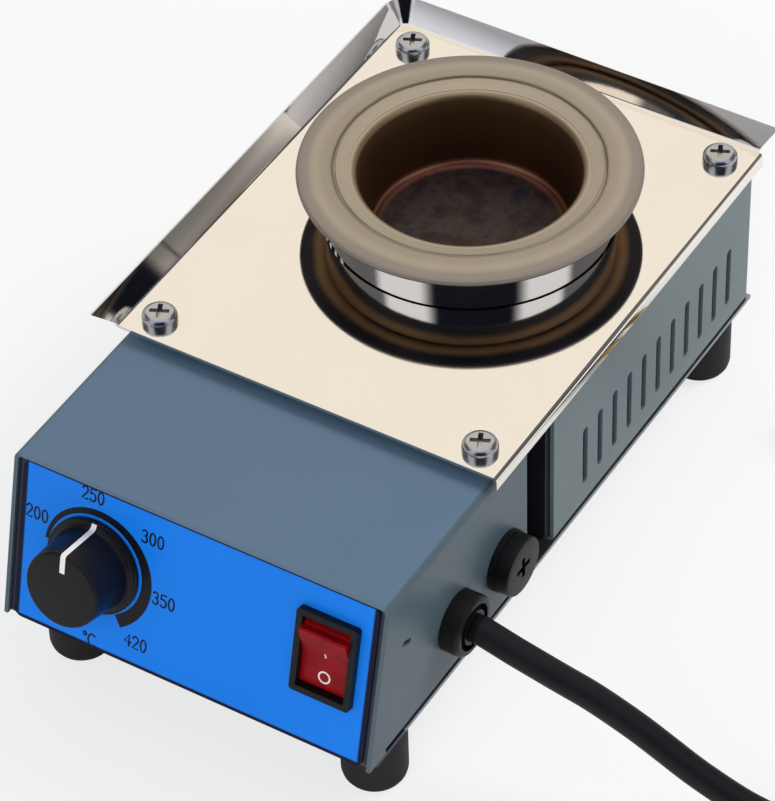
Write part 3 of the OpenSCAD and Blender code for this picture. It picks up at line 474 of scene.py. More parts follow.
@dataclass(frozen=True)
class HeatTinted(Finish):
    """The crucible's metal: blasted flange, brown oxide inside and a stained floor, with painted light: a
    highlight on the floor's fillet, a shadow line at the flange's step and shade under the flange.

    The colour follows the distance from the pot's axis and the height.
    """

    centre: tuple[float, float]
    rim_z: float
    floor_z: float
    mouth_r: float
    flange_width: float = 14.5 * MM
    flange_thick: float = 1.3 * MM
    lip: float = 1.2 * MM
    floor_band: float = 0.9 * MM
    underside_r: float = 30.0 * MM
    underside_width: float = 10.0 * MM
    depth: float = 12 * MICRON

    def material(self) -> bpy.types.Material:
        """Builds the material."""
        shader = MaterialShader(self.name)
        place = shader.place()
        x, y, z = shader.axes(place)
        out_x, out_y = x - self.centre[0], y - self.centre[1]
        radius = (out_x * out_x + out_y * out_y) ** 0.5
        cloud = shader.noise(place, 14 * MM, 4.0, 0.6)
        grain = shader.noise(place, 0.45 * MM, 2.0)
        section = shader.node("ShaderNodeCombineXYZ", sockets={0: radius, 1: z})
        turned = shader.noise(section, 0.9 * MM, 3.0)
        # The dark stop at 0.38 is a painted shadow line at the flange's step, about 31 mm from the axis.
        flange = shader.ramp(
            (radius - self.mouth_r) / self.flange_width + 0.10 * (cloud - 0.5),
            [
                (0.00, linear(150, 134, 108)),
                (0.10, linear(190, 178, 156)),
                (0.34, linear(178, 164, 140)),
                (0.38, linear(104, 92, 78)),
                (0.43, linear(162, 150, 130)),
                (0.66, linear(180, 167, 148)),
                (0.80, linear(150, 139, 128)),
                (1.00, linear(140, 129, 122)),
            ],
        )
        worn = shader.mix(turned, linear(116, 104, 92), linear(214, 200, 178))
        flange = shader.mix(0.22, flange, worn)
        sunk = (self.rim_z - z) / (self.rim_z - self.floor_z)
        # Down the wall the colour darkens towards the bottom; the bright pink stop at 0.95 is a painted
        # highlight on the fillet into the floor.
        wall = shader.ramp(
            sunk + 0.03 * (cloud - 0.5),
            [
                (0.06, linear(158, 138, 110)),
                (0.13, linear(118, 92, 64)),
                (0.30, linear(96, 70, 46)),
                (0.75, linear(84, 54, 34)),
                (0.89, linear(90, 56, 36)),
                (0.93, linear(158, 102, 74)),
                (0.95, linear(232, 172, 142)),
            ],
        )
        stain = shader.noise(place, 8 * MM, 4.0, 0.65)
        floor = shader.ramp(
            stain,
            [
                (0.20, linear(44, 30, 34)),
                (0.42, linear(58, 48, 48)),
                (0.55, linear(76, 66, 60)),
                (0.66, linear(50, 42, 66)),
                (0.80, linear(92, 56, 56)),
            ],
        )
        rust = (radius / self.mouth_r).above(0.83, 0.10) * 0.55
        floor = shader.mix(rust, floor, linear(134, 66, 40))
        inside = (self.mouth_r + self.lip - radius).above(0.0, 1.0 * MM)
        on_floor = (self.floor_z + self.floor_band - z).above(0.0, 0.8 * MM)
        under = (self.rim_z - self.flange_thick - z).above(0.0, 0.5 * MM)
        # Under the flange the colour is painted shade, blue-black, inside about 33 mm and outside about 37
        # mm from the axis, with a band of gold heat tint between.
        underside_tint_and_shade = shader.ramp(
            (radius - self.underside_r) / self.underside_width + 0.16 * (cloud - 0.5),
            [
                (0.28, linear(22, 22, 30)),
                (0.42, linear(122, 92, 62)),
                (0.52, linear(138, 108, 78)),
                (0.68, linear(26, 26, 38)),
            ],
        )
        outside = shader.mix(under, flange, underside_tint_and_shade)
        colour = shader.mix(inside, outside, shader.mix(on_floor, wall, floor))
        return shader.set(
            colour=colour,
            metal=0.55 + 0.25 * inside,
            rough=0.50 + 0.10 * (cloud - 0.5) + 0.08 * (grain - 0.5) - 0.10 * inside,
            normal=shader.bump(0.6 * grain + 0.4 * turned, self.depth),
        )


@dataclass(frozen=True)
class Print(Finish):
    """Ink on the panel film, flat and slightly glossy."""

    colour: Colour

    def material(self) -> bpy.types.Material:
        """Builds the material."""
        shader = MaterialShader(self.name)
        fleck = shader.noise(shader.place(), 0.3 * MM, 2.0)
        tone = shader.mix(fleck, self.colour, toned(self.colour, 1.3, 0.003))
        return shader.set(colour=tone, rough=0.38 + 0.06 * (fleck - 0.5), specular=0.2)


@dataclass(frozen=True)
class PanelFilm(Finish):
    """Blue film of the front panel, edged with a dark line.

    The edge is read from the distance to the film's border, across and up the slope.
    """

    colour: Colour
    edge: Colour
    half_width: float
    foot: tuple[float, float]
    slope: tuple[float, float]
    height: float

    def material(self) -> bpy.types.Material:
        """Builds the material."""
        shader = MaterialShader(self.name)
        place = shader.place()
        x, y, z = shader.axes(place)
        up = (y - self.foot[0]) * self.slope[0] + (z - self.foot[1]) * self.slope[1]
        side = x.maths("ABSOLUTE")
        cloud = shader.noise(place, 50 * MM, 1.0)
        grain = shader.noise(place, 0.3 * MM, 2.0)
        tone = shader.mix(cloud, self.colour, toned(self.colour, 0.86))
        inner = self.half_width - 1.3 * MM
        line = side.above(inner, 0.5 * MM).maths("MAXIMUM", 1.0 - up.above(1.0 * MM, 0.5 * MM))
        line = line.maths("MAXIMUM", up.above(self.height - 0.5 * MM, 0.3 * MM))
        return shader.set(
            colour=shader.mix(line, tone, self.edge),
            rough=0.34 + 0.08 * (cloud - 0.5),
            specular=0.12,
            normal=shader.bump(grain, 3 * MICRON),
        )


@dataclass(frozen=True)
class RedLens(Finish):
    """Translucent red plastic of the rocker in blotches of two reds, with a faint painted glow."""

    colour: Colour
    deep: Colour

    def material(self) -> bpy.types.Material:
        """Builds the material."""
        shader = MaterialShader(self.name)
        place = shader.place()
        cloud = shader.noise(place, 4 * MM, 2.0)
        return shader.set(
            colour=shader.mix(cloud, self.colour, self.deep),
            rough=0.22 + 0.06 * (cloud - 0.5),
            specular=0.12,
            # Painted glow: the red emits faintly, as if lit from within.
            emission=self.colour,
            emission_strength=0.06,
            normal=shader.bump(shader.noise(place, 0.7 * MM, 2.0), 4 * MICRON),
        )


# ------------------------------------------------------------- numpy surfaces


def grid_mesh(name: str, points: Grid, close_u: bool = False, close_v: bool = False) -> bpy.types.Object:
    """Makes a mesh object of quads from a grid of points.

    Args:
        name: The object's name.
        points: Rows by columns by 3, in metres.
        close_u: True to join the last row to the first.
        close_v: True to join the last column to the first.

    Returns:
        The new object, at the origin.
    """
    rows, columns = points.shape[:2]
    return raw_mesh(name, points.reshape(-1, 3), grid_faces(rows, columns, close_u, close_v))


def grid_faces(rows: int, columns: int, close_u: bool = False, close_v: bool = False) -> list[list[int]]:
    """Lists the corners of a grid's quads.

    Args:
        rows: Rows of points.
        columns: Columns of points.
        close_u: True to join the last row to the first.
        close_v: True to join the last column to the first.

    Returns:
        Four point numbers for each quad.
    """
    i = np.arange(rows if close_u else rows - 1)[:, None]
    j = np.arange(columns if close_v else columns - 1)[None, :]
    below, right = (i + 1) % rows, (j + 1) % columns
    corners = [i * columns + j, i * columns + right, below * columns + right, below * columns + j]
    return np.stack(corners, axis=-1).reshape(-1, 4).tolist()


def raw_mesh(name: str, points: Grid, faces: list[list[int]]) -> bpy.types.Object:
    """Makes a smooth-shaded mesh object from points and faces.

    Args:
        name: The object's name.
        points: Points by 3, in metres.
        faces: Point numbers of each face.

    Returns:
        The new object, at the origin.
    """
    mesh = bpy.data.meshes.new(name)
    mesh.from_pydata(points.tolist(), [], faces)
    mesh.update()
    mesh.shade_smooth()
    made = bpy.data.objects.new(name, mesh)
    bpy.context.scene.collection.objects.link(made)
    return made


def tube_mesh(name: str, path: Grid, radius: float, sides: int = 20) -> bpy.types.Object:
    """Carries a circle along a path, turned as little as possible from ring to ring.

    Args:
        name: The object's name.
        path: The centreline's points.
        radius: The tube's radius.
        sides: Points round each ring.

    Returns:
        The tube, closed at both ends.
    """
    along = np.gradient(path, axis=0)
    along /= np.linalg.norm(along, axis=1)[:, None]
    normal = np.cross(along[0], [0.0, 0.0, 1.0])
    normals = [normal / np.linalg.norm(normal)]
    for tangent in along[1:]:
        turned = normals[-1] - tangent * normals[-1].dot(tangent)
        normals.append(turned / np.linalg.norm(turned))
    normals = np.array(normals)
    across = np.cross(along, normals)
    angle = np.linspace(0, 2 * np.pi, sides, endpoint=False)
    ring = np.cos(angle)[None, :, None] * normals[:, None] + np.sin(angle)[None, :, None] * across[:, None]
    points = path[:, None] + radius * ring
    last = (len(path) - 1) * sides
    caps = [list(range(sides))[::-1], list(range(last, last + sides))]
    made = raw_mesh(name, points.reshape(-1, 3), grid_faces(len(path), sides, close_v=True) + caps)
    point_outwards(made)
    return made


def point_outwards(made: bpy.types.Object) -> None:
    """Makes the faces of a closed mesh point outwards."""
    work = bmesh.new()
    work.from_mesh(made.data)
    bmesh.ops.recalc_face_normals(work, faces=work.faces)
    work.to_mesh(made.data)
    work.free()


def smooth_path(points: Grid, step: float) -> Grid:
    """A smooth line through the points, as a Catmull-Rom curve with even steps.

    Args:
        points: The points to pass through.
        step: Distance between the points of the result.

    Returns:
        The curve's points.
    """
    padded = np.vstack([2 * points[0] - points[1], points, 2 * points[-1] - points[-2]])
    t = np.linspace(0, 1, 12, endpoint=False)[:, None]
    spans = []
    for a, b, c, d in zip(padded[:-3], padded[1:-2], padded[2:-1], padded[3:]):
        spans.append(
            0.5 * (2 * b + (c - a) * t + (2 * a - 5 * b + 4 * c - d) * t**2 + (3 * b - a - 3 * c + d) * t**3)
        )
    line = np.vstack([*spans, points[-1:]])
    run = np.concatenate([[0.0], np.cumsum(np.linalg.norm(np.diff(line, axis=0), axis=1))])
    even = np.linspace(0, run[-1], max(2, int(round(run[-1] / step)) + 1))
    return np.stack([np.interp(even, run, line[:, k]) for k in range(3)], axis=1)


def ribbon_mesh(name: str, strokes: Sequence[Grid], width: float, thick: float) -> bpy.types.Object:
    """Draws pen strokes as thin raised bars with round ends, in the plane z = 0.

    Args:
        name: The object's name.
        strokes: Lines of 2-D points.
        width: The pen's width.
        thick: How far the ink stands up.

    Returns:
        One object that holds all the strokes.
    """
    bend = np.linspace(0, np.pi, 7)[1:-1, None]
    aside, ahead = np.cos(bend), np.sin(bend) * width / 2
    points: list[Grid] = []
    faces: list[list[int]] = []
    count = 0
    for stroke in strokes:
        closed = np.allclose(stroke[0], stroke[-1])
        tangent = np.gradient(stroke, axis=0)
        if closed:
            tangent[0] = tangent[-1] = stroke[1] - stroke[-2]
        tangent /= np.linalg.norm(tangent, axis=1)[:, None]
        side = np.stack([-tangent[:, 1], tangent[:, 0]], axis=1) * width / 2
        left, right = stroke + side, stroke - side
        if not closed:
            for end, sign in ((0, 1), (-1, -1)):
                cap = stroke[end] + sign * (aside * side[end] - ahead * tangent[end])
                points += [cap, right[end:][:1], left[end:][:1]]
                faces.append(list(range(count, count + len(cap) + 2)))
                count += len(cap) + 2
            left = np.vstack([left[:1], left, left[-1:]])
            right = np.vstack([right[:1], right, right[-1:]])
        n = len(left)
        points += [left, right]
        faces += [[count + k, count + n + k, count + n + k + 1, count + k + 1] for k in range(n - 1)]
        count += 2 * n
    flat = np.vstack(points)
    return raw_mesh(name, np.column_stack([flat, np.full(len(flat), thick)]), faces)


# ---------------------------------------------------------------- frame helpers


@dataclass(frozen=True)
class PanelAxes:
    """Axes on the sloping panel, centred on the knob: across, up the slope and out of it."""

    middle: Vector
    out: Vector
    across: Vector = field(default_factory=lambda: Vector((1.0, 0.0, 0.0)))

    @property
    def up(self) -> Vector:
        """The direction up the slope."""
        return self.out.cross(self.across)

    def lay(self, points: Grid, lift: float) -> Grid:
        """Puts flat points onto the panel.

        Args:
            points: Points by 2 or 3, across and up from the knob's axis, in metres.
            lift: Height above the panel's reference plane.

        Returns:
            Points by 3 in the frame.
        """
        axes = np.array([self.across, self.up, self.out])
        flat = np.zeros((len(points), 3))
        flat[:, : points.shape[1]] = points
        flat[:, 2] += lift
        return flat @ axes + np.array(self.middle)


def joint(frame: dict, name: str) -> dict:
    """Finds a joint of the record by its name."""
    return next(j for j in frame["record"]["behaviour"]["joints"] if j["name"] == name)


def aimed(place: Vector, back: Vector) -> Matrix:
    """Placement of a camera or lamp that looks against a direction."""
    return Matrix.Translation(place) @ (-back).to_track_quat("-Z", "Y").to_matrix().to_4x4()


# --------------------------------------------------------------------- the cord


@dataclass
class MainsCord:
    """The mains cord: down from its bushing, across the bench, into a tied coil and to its plug.

    The routes repeat the solids' own points, in millimetres from the base's front edge.
    """

    diameter: float = 6.6 * MM
    set_back: float = 84.72231
    foot_height: float = 18.0
    coil_centre: tuple[float, float] = (172.0, 97.0)
    outer: float = 49.6
    inner: float = 28.15
    low: float = -14.7
    layer: float = 6.6
    step: float = 2.0 * MM
    lead: tuple[tuple[float, float, float], ...] = (
        (52.3, 36.5, 15.6), (53.5, 36.5, 15.6), (57, 36.5, 14.8), (62, 36.6, 13.4), (68, 36.9, 11.7),
        (74, 37.4, 9.8), (80, 38, 7.8), (86, 38.5, 5.3), (92, 39, 2.4), (98, 39.5, -1),
        (104, 40.1, -4.6), (110, 41, -8), (116, 42, -11), (123, 43.4, -13.5), (131, 45, -14.7),
        (144, 46.6, -14.7), (158, 47.3, -14.7),
    )
    tail: tuple[tuple[float, float, float], ...] = (
        (213, 106, -8.1), (211.2, 115, -8.1), (208, 124, -8.1), (203.4, 132.5, -8.1),
        (197.3, 140.4, -8.4), (190, 147.2, -9.2), (181.6, 152.8, -9.9), (172.4, 156.9, -10.1),
        (162.8, 159.5, -9.8), (154.5, 160.6, -9.5), (153, 160.6, -9.5),
    )

    def coil(self) -> Grid:
        """Works out the coil: a spiral that closes in below, climbs, and opens out on top.

        Returns:
            The coil's points, in the route's millimetres.
        """
        inwards, outwards, ease = 3.25, 2.0, 0.25
        per_turn = 24
        turn = np.linspace(0, inwards + outwards, int(per_turn * (inwards + outwards)) + 1)
        below = np.minimum(turn, inwards)
        above = np.maximum(turn - inwards, 0.0)
        radius = self.outer - (self.outer - self.inner) * below / inwards + self.layer * above
        climb = np.clip((turn - inwards + ease) / ease, 0.0, 1.0)
        climb = climb * climb * (3 - 2 * climb)
        angle = -np.pi / 2 + 2 * np.pi * turn
        return np.stack(
            [
                self.coil_centre[0] + radius * np.cos(angle),
                self.coil_centre[1] + radius * np.sin(angle),
                self.low + self.layer * climb,
            ],
            axis=1,
        )

    def path(self) -> Grid:
        """The whole centreline, in metres in the frame."""
        points = np.vstack([np.array(self.lead), self.coil(), np.array(self.tail)])
        points += [0.0, -self.set_back, self.foot_height]
        return smooth_path(points * MM, self.step)

    def build(self, frame: dict) -> bpy.types.Object:
        """Args:
            frame: The loaded frame; not used.

        Returns:
            The cord's object.
        """
        path = self.path()
        made = tube_mesh("mains_cord", path, self.diameter / 2, 16)
        made.data.materials.append(Moulding("cord_jacket", linear(15, 14, 18), 0.46, 0.7 * MM).material())
        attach(made, "case")
        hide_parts("power_cord", "cord_coil", "cord_tail")
        return made


# ----------------------------------------------------------------- panel print


class Glyph(Enum):
    """Characters of the dial, drawn as pen strokes one unit high."""

    ZERO = "0"
    TWO = "2"
    THREE = "3"
    FOUR = "4"
    FIVE = "5"
    C = "C"
    DEGREE = "°"

    @property
    def advance(self) -> float:
        """Width that the character takes, with its gap."""
        return {"°": 0.42, "C": 0.78}.get(self.value, 0.66)

    def strokes(self) -> list[Grid]:
        """The character's pen strokes, from its lower left corner."""
        if self is Glyph.ZERO:
            return [oval(0.25, 0.5, 0.22, 0.5, 90, 450)]
        if self is Glyph.TWO:
            top = oval(0.25, 0.74, 0.22, 0.26, 165, -40)
            return [np.vstack([top, [[0.02, 0.0], [0.48, 0.0]]])]
        if self is Glyph.THREE:
            upper = oval(0.24, 0.76, 0.20, 0.24, 150, -90)
            lower = oval(0.24, 0.27, 0.23, 0.27, 90, -150)
            return [np.vstack([upper, lower[1:]])]
        if self is Glyph.FOUR:
            return [np.array([[0.38, 0.0], [0.38, 1.0], [0.0, 0.32], [0.52, 0.32]])]
        if self is Glyph.FIVE:
            bowl = oval(0.23, 0.32, 0.25, 0.32, 120, -145)
            return [np.vstack([[[0.46, 1.0], [0.08, 1.0], [0.05, 0.55]], bowl])]
        if self is Glyph.C:
            return [oval(0.36, 0.5, 0.32, 0.5, 50, 310)]
        return [oval(0.16, 0.86, 0.12, 0.14, 0, 360)]


def oval(x: float, y: float, across: float, up: float, start: float, end: float) -> Grid:
    """Part of an ellipse between two angles in degrees."""
    angle = np.radians(np.linspace(start, end, 25))
    return np.stack([x + across * np.cos(angle), y + up * np.sin(angle)], axis=1)


@dataclass
class DialPrint:
    """The temperature marks round the knob and the wedge-shaped scale beside it."""

    axes: PanelAxes
    lift: float = -0.38 * MM
    height: float = 3.1 * MM
    pen: float = 0.46 * MM
    gap: float = 0.14
    marks: tuple[tuple[str, float, float], ...] = (
        ("200", -15.6, 6.7), ("250", -1.7, 17.2), ("300", 14.1, 12.5), ("350", 18.1, -1.9),
        ("420", 12.0, -15.6), ("°C", 0.1, -19.9),
    )
    wedge_start: float = -83.0
    wedge_end: float = 150.0
    inner: float = 12.25 * MM
    thin: float = 0.9 * MM
    thick: float = 3.2 * MM

    def word(self, text: str, x: float, y: float) -> list[Grid]:
        """Strokes of a word centred on a point, in metres."""
        glyphs = [Glyph(letter) for letter in text]
        starts = np.concatenate([[0.0], np.cumsum([g.advance for g in glyphs])])
        left = x * MM - (starts[-1] - self.gap) * self.height / 2
        base = y * MM - self.height / 2
        return [
            stroke * self.height + [left + start * self.height, base]
            for glyph, start in zip(glyphs, starts)
            for stroke in glyph.strokes()
        ]

    def build(self) -> None:
        """Makes the words and the wedge."""
        ink = Print("dial_ink", linear(9, 11, 20)).material()
        strokes = [s for text, x, y in self.marks for s in self.word(text, x, y)]
        words = ribbon_mesh("dial_numbers", strokes, self.pen, 0.0)
        place_on_panel(words, self.axes, self.lift)
        steps, rings = 73, 4
        part = np.linspace(0, 1, steps)
        angle = np.radians(self.wedge_start + (self.wedge_end - self.wedge_start) * part)
        outward = np.stack([np.sin(angle), np.cos(angle)], axis=1)
        width = self.thin + (self.thick - self.thin) * part
        radius = self.inner + np.linspace(0, 1, rings)[:, None, None] * width[None, :, None]
        flat = np.concatenate([radius * outward[None], np.zeros((rings, steps, 1))], axis=2)
        wedge = grid_mesh("dial_wedge", flat)
        place_on_panel(wedge, self.axes, self.lift)
        for piece in (words, wedge):
            piece.data.materials.append(ink)
            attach(piece, "case")
        LOG.info("dial print with %d words", len(self.marks))


def place_on_panel(
    piece: bpy.types.Object, axes: PanelAxes, lift: float, hinge: float = 0.0, lean: float = 0.0
) -> None:
    """Moves a flat piece's points from the panel's axes to the frame.

    Args:
        piece: The piece, drawn in the plane z = 0.
        axes: The panel's axes.
        lift: Height above the panel's reference plane.
        hinge: Place up the slope from which the piece leans.
        lean: How steeply it rises up the slope, in radians.
    """
    vertices = piece.data.vertices
    flat = np.empty(3 * len(vertices), dtype=np.float32)
    vertices.foreach_get("co", flat)
    points = flat.reshape(-1, 3).astype(float)
    points[:, 2] += (points[:, 1] - hinge) * math.tan(lean)
    vertices.foreach_set("co", axes.lay(points, lift).ravel().astype(np.float32))
    piece.data.update()


@dataclass
class SwitchMarks:
    """White ring and line on the rocker, on its lower and upper halves at rest."""

    axes: PanelAxes
    lean: float = math.radians(12)
    face: float = 3.3 * MM
    ring_at: float = 4.6 * MM
    ring: float = 1.35 * MM
    line_at: float = 1.3 * MM
    line: float = 0.6 * MM
    pen: float = 0.4 * MM
    ink: float = 0.04 * MM

    def point_on_half(self, along: float, sign: int) -> tuple[float, float]:
        """Place up the slope and height of a point on one half's face, from the pivot.

        The level rocker has its face rising from the middle by the lean on both sides;
        turning it by the lean makes the lower half level.

        Args:
            along: Distance from the pivot on that half.
            sign: 1 for the upper half and -1 for the lower one.

        Returns:
            Place up the slope and height above the pivot, in metres.
        """
        rise = self.face + along * math.tan(self.lean)
        up = sign * along * math.cos(self.lean) - rise * math.sin(self.lean)
        return up, sign * along * math.sin(self.lean) + rise * math.cos(self.lean)

    def build(self) -> None:
        """Makes both marks."""
        white = Print("switch_white", linear(226, 214, 212)).material()
        up, height = self.point_on_half(self.ring_at, -1)
        ring = ribbon_mesh("switch_ring", [oval(0.0, up, self.ring, self.ring, 0, 360)], self.pen, 0.0)
        place_on_panel(ring, self.axes, height + self.ink)
        tilt = 2 * self.lean
        up, height = self.point_on_half(self.line_at, 1)
        half = self.line * math.cos(tilt)
        flat = np.array([[0.0, up - half], [0.0, up + half]])
        line = ribbon_mesh("switch_line", [flat], self.pen, 0.0)
        place_on_panel(line, self.axes, height + self.ink, up, tilt)
        for piece in (ring, line):
            piece.data.materials.append(white)
            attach(piece, "rocker")
        LOG.info("switch marks")


# ------------------------------------------------------------------ CAD pieces


class Housings:
    """Gives every solid its finish and rounds its shading."""

    MOUTH_R = 25.5 * MM
    POT_DEPTH = 19.6 * MM
    JOIN = 2 * MICRON
    SHARP = math.radians(30)

    def __init__(self, frame: dict) -> None:
        """Reads the frame and picks a finish for each material slot."""
        self.frame = frame
        low, high = (np.array(corner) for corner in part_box("crucible"))
        film_low, film_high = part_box("panel_overlay")
        out = joint(frame, "knob_turn")["axis"]
        up = (out[2], -out[1])
        film_height = (film_high[2] - film_low[2]) / up[1]
        centre = tuple(((low + high)[:2] / 2).tolist())
        steel = linear(196, 197, 198)
        finishes: list[Finish] = [
            # The blue-grey cover's darker side colour is painted shade on its sides.
            Paint(
                "blue_grey_paint", linear(88, 112, 134), linear(95, 118, 139), side=linear(78, 93, 101),
                shaded_side_x=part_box("control_cover")[1][0] - 1.2 * MM,
            ),
            Paint("case_paint", linear(99, 114, 119), linear(106, 120, 123)),
            PanSheet(
                "plated_steel", linear(160, 166, 172), linear(18, 22, 44), film_high[1] + 4 * MM,
                film_low[2] - 3 * MM,
            ),
            PanelFilm(
                "printed_film", linear(24, 132, 244), linear(16, 20, 44), film_high[0],
                (film_low[1], film_low[2]), up, film_height,
            ),
            Paint("dark_steel", linear(16, 16, 20), linear(22, 22, 26), 0.55),
            Polished("mirror_steel", linear(246, 241, 232), 0.045),
            Polished("jacket_steel", linear(244, 240, 232), 0.07, (1.0, 1.0, 18.0)),
            HeatTinted(
                "crucible_metal", centre, high[2], high[2] - self.POT_DEPTH, self.MOUTH_R
            ),
            SatinMetal("cast_aluminium", linear(176, 178, 180), 0.5, 1.2 * MM),
            Moulding("mica", linear(176, 160, 122), 0.6, 1.2 * MM),
            Moulding("ceramic_fibre", linear(226, 220, 206), 0.85, 0.8 * MM, 30 * MICRON),
            SatinMetal("screw_steel", steel, 0.24),
            SatinMetal("probe_steel", linear(176, 172, 166), 0.34),
            Moulding("knob_plastic", linear(14, 13, 17), 0.36, 0.5 * MM, 6 * MICRON),
            Moulding("pointer_white", linear(232, 230, 228), 0.4, 0.5 * MM, 3 * MICRON),
            SatinMetal("shaft_steel", steel, 0.3),
            Moulding("pot_body", linear(70, 80, 92), 0.5),
            Moulding("black_nylon", linear(11, 11, 12), 0.4, 0.5 * MM),
            RedLens("rocker_red", linear(158, 8, 16), linear(92, 4, 12)),
            SatinMetal("brass_plated", linear(206, 180, 120), 0.3),
            Moulding("fuse_glass", linear(214, 222, 214), 0.12, 2 * MM, 2 * MICRON),
            Moulding("plug_pvc", linear(15, 14, 18), 0.44, 0.6 * MM),
            Moulding("black_rubber", linear(30, 29, 30), 0.62, 0.9 * MM, 12 * MICRON),
            Moulding("board_green", linear(38, 98, 62), 0.35, 1.4 * MM),
            Moulding("white_nylon", linear(222, 220, 212), 0.45),
            Moulding("capacitor_film", linear(196, 148, 56), 0.35),
            Moulding("capacitor_sleeve", linear(40, 52, 96), 0.35),
            Moulding("chip_epoxy", linear(34, 34, 36), 0.55),
            SatinMetal("sink_aluminium", linear(172, 174, 178), 0.4),
        ]
        slots = {"plug_pvc": "cord_pvc"}
        self.finishes = {slots.get(finish.name, finish.name): finish for finish in finishes}

    def soft_shading(self) -> bpy.types.NodeTree:
        """Makes the node group that joins a solid's loose triangles and rounds its shading.

        Returns:
            The node group, which keeps edges above the sharp angle.
        """
        group = bpy.data.node_groups.new("soft_shading", "GeometryNodeTree")
        group.interface.new_socket("Geometry", in_out="INPUT", socket_type="NodeSocketGeometry")
        group.interface.new_socket("Geometry", in_out="OUTPUT", socket_type="NodeSocketGeometry")
        nodes, links = group.nodes, group.links
        start, end = nodes.new("NodeGroupInput"), nodes.new("NodeGroupOutput")
        join = nodes.new("GeometryNodeMergeByDistance")
        join.inputs["Distance"].default_value = self.JOIN
        smooth = nodes.new("GeometryNodeSetShadeSmooth")
        sharp = nodes.new("GeometryNodeSetShadeSmooth")
        sharp.domain = "EDGE"
        sharp.inputs["Shade Smooth"].default_value = False
        angle = nodes.new("GeometryNodeInputMeshEdgeAngle")
        over = nodes.new("FunctionNodeCompare")
        over.operation = "GREATER_THAN"
        over.inputs[1].default_value = self.SHARP
        links.new(start.outputs[0], join.inputs[0])
        links.new(join.outputs[0], smooth.inputs[0])
        links.new(smooth.outputs[0], sharp.inputs[0])
        links.new(angle.outputs["Unsigned Angle"], over.inputs[0])
        links.new(over.outputs[0], sharp.inputs["Selection"])
        links.new(sharp.outputs[0], end.inputs[0])
        return group

    def dress(self) -> None:
        """Assigns the finishes and the shading."""
        group = self.soft_shading()
        made = {slot: finish.material() for slot, finish in self.finishes.items()}
        for part in self.frame["record"]["subparts"]:
            solid = self.frame["nodes"][part["node"]]
            for slot in solid.material_slots:
                slot.material = made[part["material_slot"]]
            rounding = solid.modifiers.new("soft_shading", "NODES")
            rounding.node_group = group
            LOG.info("%s in %s", part["node"], part["material_slot"])


# --------------------------------------------------------------------- studio


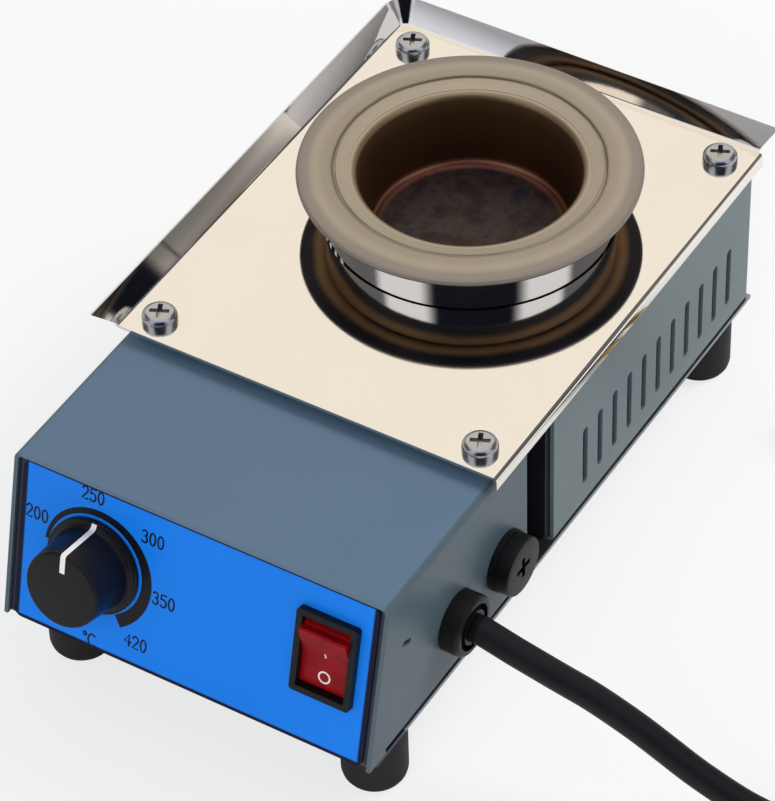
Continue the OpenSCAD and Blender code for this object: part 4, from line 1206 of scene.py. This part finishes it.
@dataclass
class Studio:
    """Camera, lamps, floor and surroundings."""

    azimuth: float = 33.457
    elevation: float = 43.973
    roll: float = -2.534
    place: tuple[float, float, float] = (0.372495, -0.581692, 0.701458)
    lens: float = 190.238
    shift: tuple[float, float] = (0.06015, 0.00593)
    sensor: float = 36.0
    target: tuple[float, float, float] = (0.0, 0.0, 0.04)
    lamp_distance: float = 1.3
    bench_half: float = 4.0
    bench_glow: float = 0.72

    def camera(self) -> None:
        """Makes the camera and hands it to the scene."""
        data = bpy.data.cameras.new("camera")
        data.lens, data.sensor_width = self.lens, self.sensor
        data.shift_x, data.shift_y = self.shift
        data.clip_start, data.clip_end = 0.05, 20.0
        camera = bpy.data.objects.new("camera", data)
        az, el = math.radians(self.azimuth), math.radians(self.elevation)
        back = Vector((math.sin(az) * math.cos(el), -math.cos(az) * math.cos(el), math.sin(el)))
        roll = Matrix.Rotation(math.radians(self.roll), 4, "Z")
        camera.matrix_world = aimed(Vector(self.place), back) @ roll
        bpy.context.scene.collection.objects.link(camera)
        bpy.context.scene.camera = camera
        bpy.context.scene.view_settings.view_transform = "Standard"

    def lamp(self, name: str, toward: Sequence[float], size: float, power: float, colour: Colour) -> None:
        """Hangs a soft lamp in one direction from the pot, turned to it.

        Args:
            name: The lamp's name.
            toward: Direction from the pot to the lamp.
            size: Its side in metres.
            power: Its power in watts.
            colour: Its linear colour.
        """
        data = bpy.data.lights.new(name, "AREA")
        data.size, data.energy, data.color = size, power, colour
        light = bpy.data.objects.new(name, data)
        direction = Vector(toward).normalized()
        light.matrix_world = aimed(Vector(self.target) + self.lamp_distance * direction, direction)
        light.visible_glossy = False
        bpy.context.scene.collection.objects.link(light)

    def surroundings(self) -> None:
        """World: plain light for matt surfaces and a room of soft boxes for mirrors.

        In mirrors the sky is warm and pale, with a dark band at the horizon and a dark
        wedge where the operator stands.
        """
        world = bpy.data.worlds.new("room")
        world.use_nodes = True
        bpy.context.scene.world = world
        shader = Shader(world.node_tree)
        shader.tree.nodes.clear()
        x, y, z = shader.axes(shader.node("ShaderNodeTexCoord", output="Generated"))
        az = math.radians(self.azimuth)
        flat = (x * x + y * y + 0.0001) ** 0.5
        facing = (x * math.sin(az) - y * math.cos(az)) / flat
        overhead = z.above(0.34, 0.16)
        operator = facing.above(0.80, 0.14) * (1.0 - z.above(0.86, 0.08))
        corner = facing.between(-0.75, 0.22, 0.16) * (1.0 - z.above(0.80, 0.10))
        shade = operator.maths("MAXIMUM", corner * 0.85)
        lit = overhead * (1.0 - shade)
        bright = shader.mix(facing.above(-0.3, 0.4), linear(250, 243, 233), linear(226, 230, 244))
        room = shader.mix(lit, linear(16, 18, 30), bright)
        low = 1.0 - z.above(0.20, 0.10)
        near_left = self.stripe(shader, x, y, flat, 39.6, 0.030)
        near_rear = self.stripe(shader, x, y, flat, -112.6, 0.020)
        away = (1.0 - operator) * (1.0 - overhead)
        posts = near_left.maths("MAXIMUM", near_rear)
        room = shader.mix(away * (1.0 - posts) * (0.25 + 0.75 * low), room, linear(222, 220, 222))
        camera, glossy, through = shader.outputs(
            shader.node("ShaderNodeLightPath"), "Is Camera Ray", "Is Glossy Ray", "Is Transmission Ray"
        )
        colour = shader.mix(glossy, linear(178, 181, 186), room)
        colour = shader.mix(camera.maths("MAXIMUM", through), colour, WHITE)
        back = shader.node("ShaderNodeBackground", sockets={"Color": colour, "Strength": 1.0})
        out = shader.tree.nodes.new("ShaderNodeOutputWorld")
        shader.tree.links.new(back.socket, out.inputs[0])

    @staticmethod
    def stripe(shader: Shader, x: Wire, y: Wire, flat: Wire, bearing: float, half: float) -> Wire:
        """An upright stripe of the room, by the sine of its angle from a bearing in degrees.

        Args:
            shader: The world's shader.
            x: Direction's x part.
            y: Direction's y part.
            flat: Direction's length in the plan.
            bearing: Where the stripe's middle is, in degrees from +X.
            half: Sine of half its width.

        Returns:
            1 in the stripe and 0 outside it.
        """
        a = math.radians(bearing)
        aside = ((x * math.sin(a) - y * math.cos(a)) / flat).maths("ABSOLUTE")
        ahead = (x * math.cos(a) + y * math.sin(a)).above(0.0, 0.1)
        return (1.0 - aside.above(half, half * 1.4)) * ahead

    def floor(self) -> None:
        """White bench top that keeps a soft shadow."""
        side = self.bench_half
        corners = [[[-side, -side, 0.0], [side, -side, 0.0]], [[-side, side, 0.0], [side, side, 0.0]]]
        bench = grid_mesh("bench", np.array(corners))
        shader = MaterialShader("bench_white")
        shader.set(colour=linear(246, 246, 246), rough=0.7)
        seen = shader.node("ShaderNodeLightPath", output="Is Camera Ray")
        glow = shader.node("ShaderNodeEmission", sockets={"Color": WHITE, "Strength": 1.0})
        surface = Wire(shader, shader.surface.outputs[0])
        mixed = shader.node("ShaderNodeMixShader", sockets={0: self.bench_glow * seen, 1: surface, 2: glow})
        shader.tree.links.new(mixed.socket, shader.output.inputs[0])
        bench.data.materials.append(shader.material)

    def build(self) -> None:
        """Makes everything but the camera."""
        self.surroundings()
        self.floor()
        self.lamp("key", (0.55, 0.65, 0.85), 0.5, 9.5, (1.0, 0.97, 0.93))
        self.lamp("fill", (0.15, -0.9, 0.5), 0.8, 6.0, (0.96, 0.98, 1.0))
        LOG.info("studio ready")


def main() -> None:
    """Builds the scene in order."""
    logging.basicConfig(level=logging.INFO, format="%(name)s: %(message)s")
    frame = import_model()
    studio = Studio()
    studio.camera()
    MainsCord().build(frame)
    knob, rocker = joint(frame, "knob_turn"), joint(frame, "rocker_tilt")
    out = Vector(knob["axis"])
    Housings(frame).dress()
    DialPrint(PanelAxes(Vector(knob["pos_m"]), out)).build()
    SwitchMarks(PanelAxes(Vector(rocker["pos_m"]), out)).build()
    studio.build()


if __name__ == "__main__":
    main()
